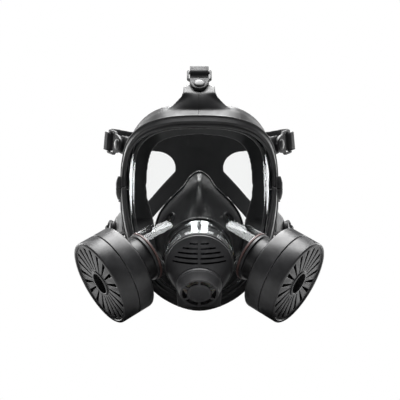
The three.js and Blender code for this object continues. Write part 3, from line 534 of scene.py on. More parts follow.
def silicone_material():
    n = moulded_finish(
        "black_silicone", (0.010, 0.010, 0.011), (0.020, 0.020, 0.021),
        0.36, 1500, 0.14, sheen=0.04,
    )
    return n.material


def plastic_material(name, rough, dark, light, specular=0.5):
    return moulded_finish(name, dark, light, rough, 3200, 0.22, specular=specular).material


def strap_material():
    """Rubber strap with fine ribs along its length and a dusty bloom."""
    n = moulded_finish(
        "strap_rubber", (0.008, 0.008, 0.009), (0.018, 0.018, 0.019),
        0.55, 2000, 0.3, specular=0.28, sheen=0.04,
    )
    return n.material


def clear_material():
    """Clear hard-coated sheet: see-through, with reflections that grow towards grazing angles."""
    n = Nodes("clear_polycarbonate")
    n.tree.nodes.remove(n.shader)
    facing = n.add("LayerWeight", {"Blend": 0.5}).outputs["Facing"]
    grazing = n.maths("POWER", facing, 5.0)
    mirror = n.maths("ADD", n.maths("MULTIPLY", grazing, 0.9), 0.035)
    smudge = n.spread(n.noise(45, 4), 0.012, 0.05)
    gloss = n.add("BsdfAnisotropic", {"Roughness": smudge, "Color": (0.93, 0.95, 0.96, 1)})
    through = n.add("BsdfTransparent", {"Color": (0.978, 0.982, 0.98, 1)})
    mix = n.add("MixShader", {0: mirror, 1: through.outputs[0], 2: gloss.outputs[0]})
    n.tree.links.new(mix.outputs[0], n.output.inputs["Surface"])
    return n.material


def gasket_material():
    n = moulded_finish(
        "pink_gasket", (0.085, 0.045, 0.042), (0.13, 0.075, 0.068),
        0.4, 1800, 0.2, (0.2, 0.13, 0.12),
    )
    return n.material


def pale_silicone_material():
    n = moulded_finish(
        "pale_silicone", (0.40, 0.39, 0.35), (0.52, 0.50, 0.46),
        0.38, 1600, 0.15, (0.6, 0.6, 0.56),
    )
    n.set(Subsurface_Weight=0.15, Subsurface_Scale=0.001)
    return n.material


def film_material():
    n = Nodes("diaphragm_film")
    n.link(n.ramp(n.noise(200, 3), (0.3, (0.26, 0.28, 0.29)), (0.7, (0.36, 0.38, 0.39))), "Base Color")
    n.link(n.spread(n.noise(400, 2), 0.22, 0.36), "Roughness")
    wave = n.add("TexWave", {"Vector": n.place, "Scale": 260, "Distortion": 1.5}, wave_type="RINGS")
    n.link(n.bump(wave.outputs["Fac"], 0.2, 0.0001), "Normal")
    return n.material


def steel_material():
    n = Nodes("steel")
    n.set(Metallic=1.0)
    n.link(n.ramp(n.noise(300, 4), (0.3, (0.05, 0.05, 0.053)), (0.75, (0.10, 0.10, 0.104))), "Base Color")
    n.link(n.spread(n.noise(700, 3), 0.24, 0.42), "Roughness")
    n.link(n.bump(n.noise(2600, 2), 0.15, 0.00004), "Normal")
    return n.material


def media_material():
    """Charcoal filter bed: coarse dark granules under a thin fleece."""
    n = Nodes("filter_media")
    cells = n.add("TexVoronoi", {"Vector": n.place, "Scale": 900})
    grains = n.ramp(cells.outputs["Distance"], (0.1, (0.012, 0.012, 0.013)), (0.8, (0.035, 0.035, 0.037)))
    n.link(grains, "Base Color")
    n.link(n.spread(n.noise(600, 2), 0.75, 0.95), "Roughness")
    n.link(n.bump(cells.outputs["Distance"], 0.8, 0.0004), "Normal")
    return n.material


RUBBER = rubber_material()
SILICONE = silicone_material()
PLASTIC = plastic_material("black_plastic", 0.4, (0.011, 0.011, 0.012), (0.019, 0.019, 0.020))
BUCKLE_PLASTIC = plastic_material("buckle_plastic", 0.5, (0.009, 0.009, 0.010), (0.016, 0.016, 0.017), 0.25)
COVER_PLASTIC = plastic_material("grey_black_plastic", 0.46, (0.028, 0.028, 0.030), (0.040, 0.040, 0.042))
FILTER_PLASTIC = plastic_material("filter_plastic", 0.36, (0.012, 0.012, 0.013), (0.021, 0.021, 0.022))
STRAP_RUBBER = strap_material()
CLEAR = clear_material()
GASKET = gasket_material()
PALE = pale_silicone_material()
FILM = film_material()
STEEL = steel_material()
MEDIA = media_material()

# ---------------------------------------------------------------- visor


def visor_rings(depth, rings, overshoot=0.0):
    """Rings of points from near the centre out to the visor's edge, sunk by `depth`."""
    steepest = math.radians(75)
    grid = []
    for r in range(1, rings + 1):
        reach = math.sin(r / rings * steepest) / math.sin(steepest)
        row = []
        for i in range(STATIONS):
            edge = station(i / STATIONS)(VISOR_EDGE + overshoot, 0)
            x = edge[0] * reach
            z = VISOR_CENTRE_Z + (edge[2] - VISOR_CENTRE_Z) * reach
            row.append(visor_point(x, z) - visor_normal(x, z) * depth)
        grid.append(row)
    return grid


def build_visor():
    """Wrapped sheet joined to a clear collar at each filter port and a clear boss round the cover."""
    rows = 18
    outer = visor_rings(0, rows)
    inner = visor_rings(VISOR["thick"], rows)
    sheet = lofted("visor_shell", [*outer, *inner[::-1]])
    middle = visor_rings(VISOR["thick"] / 2, rows)

    def behind():
        return lofted("behind", [*middle, [np.array((p[0], 60, p[2])) for p in middle[-1]]])

    reach, depth = COLLAR["outer"], COLLAR["depth"]
    collars, bores = [], []
    for side in SIDES.values():
        m = port_frame(side)
        plug = [(0, -depth), (reach, -depth), (reach, -0.6), (reach - 0.6, 0), (0, 0)]
        collars.append(carved(turned("collar", plug, m), behind()))
        bores.append(disc("bore", COLLAR["inner"], -depth - 1, 10, m))
    united(sheet, *collars)
    carved(sheet, *bores)
    reach, front = BOSS["outer"], BOSS["front"]
    boss = turned("boss", [
        (0, BOSS["rear"]), (reach, BOSS["rear"]), (reach, front - 7), (reach + 0.5, front - 6),
        (reach + 0.5, front - 4.4), (reach, front - 3.6), (reach, front - 0.6),
        (reach - 0.6, front), (0, front),
    ], cover_frame)
    united(sheet, carved(boss, behind()))
    carved(sheet, disc("bore", BOSS["inner"], BOSS["rear"] - 20, 10, cover_frame))
    return put(sheet, CLEAR, "clear_polycarbonate", "visor", angle=50)


# ---------------------------------------------------------------- clamping frame

FRAME_SECTION = [
    (FRAME_OUT, -4), (FRAME_OUT, 4.3), (FRAME_OUT - 1.1, FRAME_PROUD), (3.9, FRAME_PROUD),
    (3.1, FRAME_PROUD - 0.9), (-2.2, FRAME_PROUD - 0.5), (-3.2, 4.4), (-3.6, 2.9),
    (-5.4, 2.9), (-FRAME_IN, 1.9), (-FRAME_IN, FRAME_LIFT),
    (VISOR_EDGE + FRAME_LIFT, FRAME_LIFT), (VISOR_EDGE + FRAME_LIFT, -4),
]
FRAME_SPLIT = 0.001
EAR = {"x": 83, "y": -13.5, "z": 2, "radius": 5.2, "tip": 3, "reach": 12.5, "taper": 8}


def ear_frame(side):
    m = np.eye(4)
    m[:3, 3] = (EAR["x"] * side, EAR["y"], EAR["z"])
    return m


def frame_keep_out():
    """Everything inside and behind the band, so that the ears don't reach it."""
    rings = []
    for i in range(STATIONS // 2):
        at = station(2 * i / STATIONS)
        edge = VISOR_EDGE + FRAME_LIFT
        rings.append([at(-30, 0.4), at(edge, 0.4), at(edge, -4), at(8, -4), at(8, -30), at(-30, -30)])
    return lofted("keep_out", rings, loop=True)


def beyond_seam(side, up):
    """The far side of the seam between the halves, which an ear stays out of."""
    rings = []
    for step in (-FRAME_SPLIT, 0.02, 0.04, 0.08):
        u = 0.25 + step * up
        at = station(u if side > 0 else 1 - u)
        rings.append([at(b, n) for b, n in ((-20, -20), (20, -20), (20, 20), (-20, 20))])
    return lofted("beyond", rings)


def build_frame_half(name, up):
    start, end = ((-0.25, 0.25) if up > 0 else (0.25, 0.75))
    start, end = start + FRAME_SPLIT, end - FRAME_SPLIT
    steps = STATIONS // 2
    rings = []
    for i in range(steps + 1):
        at = station(start + (end - start) * i / steps)
        rings.append([at(b, n) for b, n in FRAME_SECTION])
    band = rounded(lofted(name, rings), 0.35, 2)
    past, reach, wide, taper = 3, EAR["reach"], EAR["radius"], EAR["taper"]
    profile = [(0, -past), (wide, -past)]
    for t in np.linspace(0, 1, 9):
        profile.append((wide - (wide - EAR["tip"]) * t ** 1.5, reach - taper * (1 - t)))
    profile.append((0, reach))
    if up < 0:
        profile = [(r, -z) for r, z in reversed(profile)]
    ears = []
    for side in SIDES.values():
        ear = rounded(turned("ear", profile, ear_frame(side), 48), 0.6, 3)
        ears.append(carved(ear, frame_keep_out(), beyond_seam(side, up)))
    united(band, *ears)
    if up < 0:
        carved(band, *(
            disc("relief", COLLAR["outer"] + GAP, -COLLAR["depth"], 10, port_frame(s)) for s in SIDES.values()
        ))
    return put(band, PLASTIC, "black_plastic", name)


def build_frame_screws():
    for name, side in SIDES.items():
        low = -EAR["reach"] - GAP
        body = turned(f"frame_screw_{name}_fine", [
            (0, low - 1.2), (1.2, low - 1.2), (1.2, low - 2), (2.1, low - 2), (2.5, low - 1.5), (2.5, low),
            (1.5, low), (1.5, EAR["reach"] - 4), (0, EAR["reach"] - 4),
        ], ear_frame(side), 40)
        put(body, STEEL, "steel", f"frame_screw_{name}")


# ---------------------------------------------------------------- rubber facepiece


def facepiece_section(u):
    """Wall section: front bead, outer wall, rolled edge, sealing lip and inner wall."""
    at = station(u)
    seal, lip = seal_ring(u), lip_ring(u)
    inward = unit((lip[0] - seal[0], 0, lip[2] - seal[2]))
    rim = at(FRAME_OUT + 1.5, -4.9)
    bulge = (rim + seal) / 2 - inward * 2.5
    into = inward * RUBBER_WALL
    roll = seal + (lip - seal) * 0.2 + (0, 3, 0)
    low = -VISOR["thick"] - 1.15
    return [
        at(-4, low), at(VISOR_EDGE, low), at(VISOR_EDGE, -4.9), rim, bulge, seal, roll,
        lip, lip + (0, -2.2, 0), seal + into + (0, -3, 0), bulge + into, at(-4, -7.5),
    ]


LUG_TONGUE = [(-10, 17.3), (-5, 16.5), (0, 16.3), (3.5, 13.5)]
LUG_SPREAD = 0.115
LUG_PULL = {"foot": 38, "tongue": 17}


def lug_foot(share):
    """Point on the wall where the top lug's flare starts, sunk a little into the rubber."""
    rim, bulge = facepiece_section(share * LUG_SPREAD)[3:5]
    return rim + (bulge - rim) * 0.75 + (0, 1.2, -1)


def hermite(start, leave, end, meet, t):
    """Cubic between two points that leaves and arrives along the two pulls."""
    return (
        start * (1 + 2 * t) * (1 - t) ** 2 + leave * t * (1 - t) ** 2
        + end * t * t * (3 - 2 * t) + meet * t * t * (t - 1)
    )


def top_lug():
    """Lug above the forehead that flares down and out into the facepiece's wall."""
    at, along, out = (np.array(BUCKLES["top"][k], float) for k in ("at", "along", "out"))
    shares = np.linspace(-1, 1, 33)

    def across(reach, half):
        return [at + along * reach + (share * half, 0, 0) for share in shares]

    feet = [lug_foot(share) for share in shares]
    tops = across(*LUG_TONGUE[0])
    skins = []
    for t in np.linspace(0, 1, 24)[:-1]:
        row = []
        for share, foot, top in zip(shares, feet, tops):
            leave = np.array((-share, 0, 0.1 + 0.25 * (1 - abs(share)))) * LUG_PULL["foot"]
            row.append(hermite(foot, leave, top, along * LUG_PULL["tongue"], t))
        skins.append(row)
    skins += [across(reach, half) for reach, half in LUG_TONGUE]
    return lofted("lug", [[*skin, *(p - out * LUG_THICK for p in reversed(skin))] for skin in skins])


def side_lug(kind, side):
    m = buckle_frame(kind, side)
    across, along, out, rivet = (m[:3, k] for k in range(4))
    rows = [(mirrored(BUCKLES[kind]["root"], side), 13)]
    rows += [(rivet + along * reach, half) for reach, half in [(-12, 10.5), (0, 10), (5, 8.6), (8.5, 5)]]
    rings = []
    for centre, half in rows:
        rings.append([
            centre + across * a * half - out * depth
            for a, depth in ((-1, 0), (1, 0), (1, LUG_THICK), (-1, LUG_THICK))
        ])
    return lofted("lug", rings)


def build_facepiece():
    shell = lofted("shell", [facepiece_section(i / STATIONS) for i in range(STATIONS)], loop=True)
    lugs = [top_lug(), *(side_lug(k, s) for k in ("temple", "lower") for s in SIDES.values())]
    skin = moulded(together("facepiece_skin", shell, *lugs), 1.25, 5)
    return put(skin, RUBBER, "black_rubber", "facepiece", angle=70)


# ---------------------------------------------------------------- buckles and straps


def buckle_outline():
    b = BUCKLE
    half, end, window = b["half"], b["end"], b["window"]
    right = [
        (b["waist"], 2.4), (b["waist"], 5.6), (b["waist"] + 0.6, 7), (half - 0.7, 9.2), (half, 10.4),
        (half, end - 2), (half - 0.6, end - 0.6), (half - 2, end), (window, end), (window, 10.5),
    ]
    left = [(-x, y) for x, y in reversed(right)]
    return arc(b["tongue"], 202, 338, 24) + right + left


def cross_bar(name, radius, half, m, segments=40):
    """Bar along the buckle's X through the roller's axis."""
    turn = np.eye(4)
    turn[:3, :3] = ((0, 0, 1), (0, 1, 0), (-1, 0, 0))
    turn[:3, 3] = (0, ROLLER["y"], ROLLER["z"])
    edge = min(0.3, radius / 3)
    return turned(name, [
        (0, -half), (radius - edge, -half), (radius, -half + edge), (radius, half - edge),
        (radius - edge, half), (0, half),
    ], m @ turn, segments)


def ribbon(name, path, half, thick, m):
    """Strap whose side view follows `path` of (y, z) points, with rounded edges."""
    rings = []
    last = len(path) - 1
    for i, (y, z) in enumerate(path):
        before, after = path[max(i - 1, 0)], path[min(i + 1, last)]
        way = np.array((after[0] - before[0], after[1] - before[1]))
        way /= np.linalg.norm(way)
        square = np.array((-way[1], way[0])) * thick / 2
        section = []
        for x, s in strap_section(half, thick):
            section.append((x, y + square[0] * s, z + square[1] * s))
        rings.append(moved(section, m))
    return lofted(name, rings)


def strap_section(half, thick):
    """(x, share of half thickness) round a strap's section: rounded edges and two fine ribs."""
    edge = thick * 0.4
    rib = half * 0.78
    top = [
        (-half, 0.3), (-half + edge * 0.4, 0.8), (-half + edge, 1.0), (-rib - 0.5, 1.0), (-rib, 0.72),
        (-rib + 0.5, 1.0), (0, 1.0), (rib - 0.5, 1.0), (rib, 0.72), (rib + 0.5, 1.0),
        (half - edge, 1.0), (half - edge * 0.4, 0.8), (half, 0.3),
    ]
    return top + [(x, -s) for x, s in reversed(top)]


def build_buckle(name, kind, side):
    m = buckle_frame(kind, side)
    low, high = BUCKLE["low"], BUCKLE["low"] + BUCKLE["thick"]
    body = plate(f"buckle_body_{name}", buckle_outline(), [circle(2.6, 32)], low, high, m, 0.6)
    put(body, BUCKLE_PLASTIC, "black_plastic", f"buckle_frame_{name}")
    bar = cross_bar(f"roller_{name}_fine", ROLLER["radius"], BUCKLE["window"] - GAP, m)
    pin = cross_bar("pin", ROLLER["pin"], BUCKLE["half"] - 0.4, m)
    put(together(bar.name, bar, pin), STEEL, "steel", f"buckle_roller_{name}")
    top, bottom = high + GAP, -LUG_THICK - GAP
    head = turned(f"rivet_{name}_fine", [
        (0, bottom - 1.4), (4.6, bottom - 1.4), (5, bottom - 1), (5, bottom), (2.2, bottom), (2.2, top),
        (5.7, top), (5.9, top + 0.25), (5.6, top + 0.8), (4.6, top + 1.35), (2.9, top + 1.75), (0, top + 1.9),
    ], m, 48)
    put(head, PLASTIC, "black_plastic", f"buckle_rivet_{name}")
    bend = ROLLER["radius"] + GAP + STRAP["thick"] / 2
    path = [(30, ROLLER["z"] - bend), (26, ROLLER["z"] - bend)]
    for k in range(25):
        a = -math.pi / 2 - math.pi * k / 24
        path.append((ROLLER["y"] + bend * math.cos(a), ROLLER["z"] + bend * math.sin(a)))
    path += [(26, ROLLER["z"] + bend), (28, ROLLER["z"] + bend)]
    loop = ribbon(f"strap_turn_{name}", path, STRAP["half"], STRAP["thick"], m)
    put(loop, STRAP_RUBBER, "strap_rubber", f"strap_loop_{name}")

# ---------------------------------------------------------------- head harness

HARNESS_THICK = 2.2
ARM_START = 32.5
LOWER_ARM_HALF = 8.6
PAD_Y = 95
PAD_OUTLINE = [
    (76, 14), (70, 19), (65.5, 30), (61, 50), (47, 50), (44.2, 42), (41.5, 36.5), (36.5, 31),
    (28, 28), (20, 29.2), (13, 34), (4, 43), (-2, 37), (-8, 31),
]


def pad_depth(x, z):
    """Depth of the pad's middle layer: bowed across and leaning forward above the arms."""
    return PAD_Y - 0.001 * x * x - 0.0104 * max(0, z - 50) ** 2


def harness_pad():
    """Waisted sheet at the back of the head that the five arms spread from."""
    rows = open_curve([(0, z, half) for z, half in PAD_OUTLINE], 66)
    shares = np.linspace(-1, 1, 17)
    rings = []
    for _, z, half in rows:
        layers = []
        for offset in (-HARNESS_THICK / 2, HARNESS_THICK / 2):
            layers.append([(half * share, pad_depth(half * share, z) + offset, z) for share in shares])
        rings.append([*layers[0], *reversed(layers[1])])
    return lofted("pad", rings)


def strap_along(points, wide, half, steps=60):
    """Flat strap through `points`, its width lying along `wide` at each end."""
    curve = open_curve(points, steps)
    rings = []
    for i, centre in enumerate(curve):
        share = i / steps
        ease = share * share * (3 - 2 * share)
        tangent = unit(curve[min(i + 1, steps)] - curve[max(i - 1, 0)])
        across = np.asarray(wide[0], float) * (1 - ease) + np.asarray(wide[1], float) * ease
        across = unit(across - tangent * np.dot(across, tangent))
        square = np.cross(tangent, across)
        reach = half[0] + (half[1] - half[0]) * share
        rings.append([
            centre + across * x + square * s * HARNESS_THICK / 2
            for x, s in strap_section(reach, HARNESS_THICK)
        ])
    return lofted("strap", rings)


def harness_arm(kind, side):
    """One arm from its buckle to the pad."""
    m = buckle_frame(kind, side)
    start = moved((0, ARM_START, ROLLER["z"] - ROLLER["radius"] - GAP - STRAP["thick"] / 2), m)[0]
    wide = m[:3, 0]
    if kind == "top":
        path = [start, (0, 25, 122), (0, 62, 103), (0, 88, 76), (0, PAD_Y, 50)]
        return strap_along(path, [wide, (1, 0, 0)], (STRAP["half"], 13))
    wide = wide * np.sign(wide[2])
    if kind == "temple":
        path = [(99, 58, 60), (78, 82, 58), (48, 92.7, 55.2), (12, PAD_Y, 54)]
        end, halves = (0, 0, 1), (STRAP["half"], 9.8)
    else:
        path = [(92, 62, -45), (73, 79, -38), (51.7, 90, -16), (36, 93.5, 2), (15, PAD_Y, 24)]
        end, halves = (0.66 * side, 0, 0.75), (LOWER_ARM_HALF, LOWER_ARM_HALF)
    return strap_along([start, *(mirrored(p, side) for p in path)], [wide, end], halves)


def build_harness():
    arms = [harness_arm(kind, side) for _, kind, side in BUCKLE_PLACES]
    skin = moulded(together("head_harness_skin", harness_pad(), *arms), 0.95, 4)
    return put(skin, STRAP_RUBBER, "strap_rubber", "head_harness", angle=70)


# ---------------------------------------------------------------- nose cup

CUP_RIM = [
    (0, -28, 18), (9, -26, 13), (16, -21, 3), (25, -14, -6), (34, -6, -15), (42.5, 1, -28),
    (46.5, 2, -46), (42.5, -3, -67), (26, -13, -83), (0, -18, -88),
]
CUP_SHOULDER = [
    (0, -51, 7), (6, -49, 3), (12.5, -45, -4), (21, -42, -13), (31, -40, -22), (38, -41, -34),
    (38, -44, -52), (31, -46, -69), (17, -50, -82), (0, -52, -86),
]
CUP_WALL = 2.2
CUP_NECK = {"radius": 28.9, "front": -32, "rear": -42.5}
CUP_VALVE = {"at": (30, -48.5, -31.5), "out": (0.76, -0.52, 0.39), "radius": 9}
CUP_SAMPLES = 22


def valve_frame(side):
    return frame_at(mirrored(CUP_VALVE["at"], side), mirrored(CUP_VALVE["out"], side), UP)


def nose_relief(p):
    """How far the cup's skin stands out (mm) at a point: the nose ridge, then the crease under it."""
    x, _, z = p
    ridge = 1.4 * math.exp(-(x / 4.5) ** 2) * np.clip((z + 24) / 12, 0, 1) * np.clip((16 - z) / 8, 0, 1)
    width = 3 + max(0, -16 - z) * 0.75
    crease = -2.2 * math.exp(-(x / width) ** 4) * np.clip((-18 - z) / 10, 0, 1) * np.clip((z + 44) / 5, 0, 1)
    return ridge + crease


def build_nose_cup():
    rim_at, shoulder_at = ring_curve(CUP_RIM), ring_curve(CUP_SHOULDER)
    rings = []
    for i in range(STATIONS):
        u = i / STATIONS
        angle = math.pi / 2 - u * math.pi * 2

        def neck(radius, t):
            return moved((radius * math.cos(angle), radius * math.sin(angle), t), cover_frame)[0]

        a, b = rim_at(u), shoulder_at(u)
        hub = np.array((0, (a[1] + b[1]) / 2, -40))
        radius = CUP_NECK["radius"]
        outer = open_curve([neck(radius, CUP_NECK["rear"]), b, a], CUP_SAMPLES)
        skin = [neck(radius, CUP_NECK["front"]), neck(radius, (CUP_NECK["front"] + CUP_NECK["rear"]) / 2)]
        for p in outer:
            away = unit((p[0] * 0.4, -1, 0.25))
            skin.append(p + away * nose_relief(p))
        lining = []
        for p in outer:
            into = hub - p
            into[1] = 0
            lining.append(p + unit(into) * CUP_WALL + (0, 1.0, 0))
        outwards = unit((a - hub) * (1, 0, 1))
        bead = [a + outwards * reach + (0, back, 0) for reach, back in ((1.3, -0.9), (2.1, 0.3), (1.3, 1.5))]
        inner = [neck(radius - CUP_WALL, CUP_NECK["rear"] - 1), neck(radius - CUP_WALL, CUP_NECK["front"])]
        rings.append([*skin, *bead, *lining[::-1][:-1], *inner])
    cup = lofted("nose_cup_skin", rings, loop=True)
    carved(cup, *(disc("hole", CUP_VALVE["radius"], -20, 20, valve_frame(s), 48) for s in SIDES.values()))
    return put(cup, SILICONE, "black_silicone", "nose_cup", angle=55)


def rectangle(x0, y0, x1, y1):
    return [(x0, y0), (x1, y0), (x1, y1), (x0, y1)]


def turned_by(m, degrees):
    spin = np.eye(4)
    a = math.radians(degrees)
    spin[:2, :2] = ((math.cos(a), -math.sin(a)), (math.sin(a), math.cos(a)))
    return m @ spin


def spoked_seat(name, inner, outer, low, high, spoke_low, spoke_high, m, spokes=2):
    """Ring with crossed spokes and a bored hub, which a valve disc's stem goes through."""
    parts = [rounded(ring("rim", inner, outer, low, high, m, 64), 0.3, 2)]
    for k in range(spokes):
        for end in (1, -1):
            bar = plate("spoke", rectangle(2 * end, -0.9, (inner + 0.6) * end, 0.9)[::end], [],
                        spoke_low, spoke_high, turned_by(m, 45 + 180 / spokes * k), 0.25)
            parts.append(bar)
    parts.append(rounded(ring("hub", 1.4, 3, spoke_low - 0.1, spoke_high + 0.2, m, 32), 0.2, 2))
    return together(name, *parts)


def valve_leaf(name, radius, face, thick, stem, lift, m):
    """Thin flexible disc, slightly dished, on a stem with a rounded pull tip."""
    far = face + thick * lift
    rows = [
        (0, far + 0.5 * lift), (1.6, far + 0.4 * lift), (2.2, far),
        (radius * 0.72, far), (radius * 0.75, far + 0.15 * lift),
        (radius * 0.78, far), (radius - 0.2, far), (radius, far - 0.2 * lift), (radius, face),
        (1.1, face), (1.1, face - stem * lift * 0.9), (0.7, face - stem * lift), (0, face - stem * lift),
    ]
    return turned(name, rows, m, 64)


def build_nose_cup_valves():
    for name, side in SIDES.items():
        m = valve_frame(side)
        seat = spoked_seat(f"cup_valve_seat_{name}", 6.6, CUP_VALVE["radius"] - GAP, -2.4, 2, -1, 0.6, m)
        put(seat, PLASTIC, "black_plastic", f"nose_cup_valve_seat_{name}")
        leaf = valve_leaf(f"cup_valve_leaf_{name}", 7.6, -2.7, 0.6, 3, -1, m)
        put(leaf, PALE, "pale_silicone", f"nose_cup_valve_disc_{name}")


# ---------------------------------------------------------------- speech housing

HOUSING = {"outer": BOSS["inner"] - 0.4, "wall": 2, "rear": -41, "front": BOSS["front"] - GAP}
PARTITION = (-22, -20)
DIAPHRAGM = {"hole": 10.5, "radius": 12.4, "thick": 0.6}
BREATH = {"radius": 10, "down": 17}


def up_in(m, y):
    lift = np.eye(4)
    lift[1, 3] = y
    return m @ lift


def build_speech_housing():
    outer, wall, rear, front = (HOUSING[k] for k in ("outer", "wall", "rear", "front"))
    inner = outer - wall
    body = turned("speech_housing_fine", [
        (0, PARTITION[0]), (inner, PARTITION[0]), (inner, rear), (outer - 0.5, rear), (outer, rear + 0.5),
        (outer, -30), (outer - 0.8, -29.4), (outer - 0.8, -27.6), (outer, -27),
        (outer, front - 0.4), (outer - 0.4, front), (inner, front), (inner, PARTITION[1]), (0, PARTITION[1]),
    ], cover_frame)
    carved(
        body,
        disc("voice", DIAPHRAGM["hole"], -40, 0, up_in(cover_frame, DIAPHRAGM_UP), 64),
        disc("breath", BREATH["radius"], -40, 0, up_in(cover_frame, -BREATH["down"]), 64),
    )
    put(body, PLASTIC, "black_plastic", "speech_housing")
    lock = rounded(ring("lock_ring_fine", outer + GAP, 34.4, -41, -39, cover_frame), 0.4)
    put(lock, PLASTIC, "black_plastic", "housing_lock_ring")
    seal = ring("housing_gasket_fine", BOSS["inner"] + 0.2, BOSS["outer"] - 0.4, -4.7, -3.7, cover_frame)
    seal = rounded(seal, 0.3)
    put(seal, SILICONE, "black_silicone", "housing_gasket")
    voice = up_in(cover_frame, DIAPHRAGM_UP)
    face = PARTITION[1] + GAP
    film = face + DIAPHRAGM["thick"]
    sheet = turned("diaphragm_film", [
        (0, face), (DIAPHRAGM["radius"], face), (DIAPHRAGM["radius"], film), (8.4, film), (8.0, film + 0.25),
        (7.6, film), (5.2, film), (4.8, film + 0.25), (4.4, film), (0, film),
    ], voice)
    put(sheet, FILM, "diaphragm_film", "speech_diaphragm")
    clamp = ring("diaphragm_clamp", DIAPHRAGM["hole"], DIAPHRAGM["radius"] + 1, film + GAP, film + 2, voice)
    clamp = rounded(clamp, 0.3)
    put(clamp, PLASTIC, "black_plastic", "diaphragm_ring")


# ---------------------------------------------------------------- front cover

COVER_WALL = 2.6
COVER_REAR = -3.4
NOSE = {"rim": -1.4, "radius": 22.8, "top": -13.2}
SKIRT_DROP = 29
LOUVRE = {"top": -52.8, "pitch": 4.64, "height": 1.9, "rib": 1.3, "front": 135, "rear": 100}
LOUVRE_REACH = [9.5, 16, 20.6, 24, 26]


def bowed(start, control, end, steps=10):
    """Points on a quadratic curve."""
    made = []
    for k in range(steps + 1):
        t = k / steps
        made.append(tuple(
            (1 - t) ** 2 * a + 2 * t * (1 - t) * c + t * t * b for a, c, b in zip(start, control, end)
        ))
    return made


def louvre(row, side):
    """Slot cutter beside the centre rib: its outer end curves up with the row's sag."""
    middle = LOUVRE["top"] - row * LOUVRE["pitch"]
    reach, sag, half = LOUVRE_REACH[row], 0.5 * (row + 1), LOUVRE["height"] / 2
    low, high, rib = middle - half, middle + half, LOUVRE["rib"]
    points = bowed((rib, low), (reach / 2, low), (reach, low + sag))
    points += bowed((reach - 0.4, high + sag * 0.8), (reach / 2, high), (rib, high))
    rings = [[(x * side, -y, z) for x, z in points] for y in (LOUVRE["rear"], LOUVRE["front"])]
    return lofted("slot", rings)


def cover_nose(name, inset):
    """Blunt cone that leans out from the cover's round rim to the exhalation valve's base."""
    rim = COVER_RADIUS - inset
    edge = 1.3 if inset == 0 else 0
    rows = [
        (rim, COVER_REAR - inset * 2, cover_frame), (rim, NOSE["rim"] - inset * 0.6 - edge, cover_frame),
        (rim - edge * 0.3, NOSE["rim"] - inset * 0.6 - edge * 0.3, cover_frame),
        (rim - edge, NOSE["rim"] - inset * 0.6, cover_frame),
    ]
    rings = [moved([(r * c, r * s, z) for c, s in circle(1)], m) for r, z, m in rows]
    tip = moved([((NOSE["radius"] - inset) * c, (NOSE["radius"] - inset) * s, NOSE["top"] - inset)
                 for c, s in circle(1)], exhale_frame)
    for share in (0.25, 0.5, 0.75, 1):
        swell = 1.1 * math.sin(math.pi * share)
        out = cover_frame[:3, 2] * swell
        rings.append(rings[3] * (1 - share) + tip * share + out)
    if inset > 0:
        rings = [rings[0], *rings[3:]]
    return lofted(name, rings)


def build_front_cover():
    shell = carved(cover_nose("shell", 0), cover_nose("hollow", COVER_WALL))
    carved(shell, *(louvre(row, side) for row in range(len(LOUVRE_REACH)) for side in (1, -1)))
    half = EXHALE_BASE
    arch = arc(half, 0, 180, 48) + [(-half + 1, -SKIRT_DROP), (half - 1, -SKIRT_DROP)]
    base = plate("base", arch, [circle(EXHALE_BORE, 64)], -44, -10, exhale_frame, 0.7)
    carved(base, disc("behind", 70, -90, -COVER_WALL, cover_frame, 64), cover_nose("inside", COVER_WALL))
    carved(shell, disc("bore", half - 1.5, -70, 0, exhale_frame, 64))
    put(together("front_cover_fine", shell, base), COVER_PLASTIC, "black_plastic", "front_cover")


EXHALE_SEAT = {"inner": 14.6, "rear": -24, "face": -10.2, "flange": 18}
EXHALE_SLOTS = {"count": 6, "inner": 12, "outer": 16.3, "bar": 1.1}


def arc_slot(inner, outer, middle, half):
    """Arc slot between two radii with corners eased, centred on angle `middle` in degrees."""
    ease = 0.35
    out = arc(outer, middle - half, middle + half, 14)
    back = arc(inner, middle + half, middle - half, 14)
    ends = []
    for a, radius_a, b, radius_b in ((out[-1], outer, back[0], inner), (back[-1], inner, out[0], outer)):
        ends.append([(a[0] + (b[0] - a[0]) * ease * k, a[1] + (b[1] - a[1]) * ease * k) for k in (0.5, 2.3)])
    return out + ends[0] + back + ends[1]


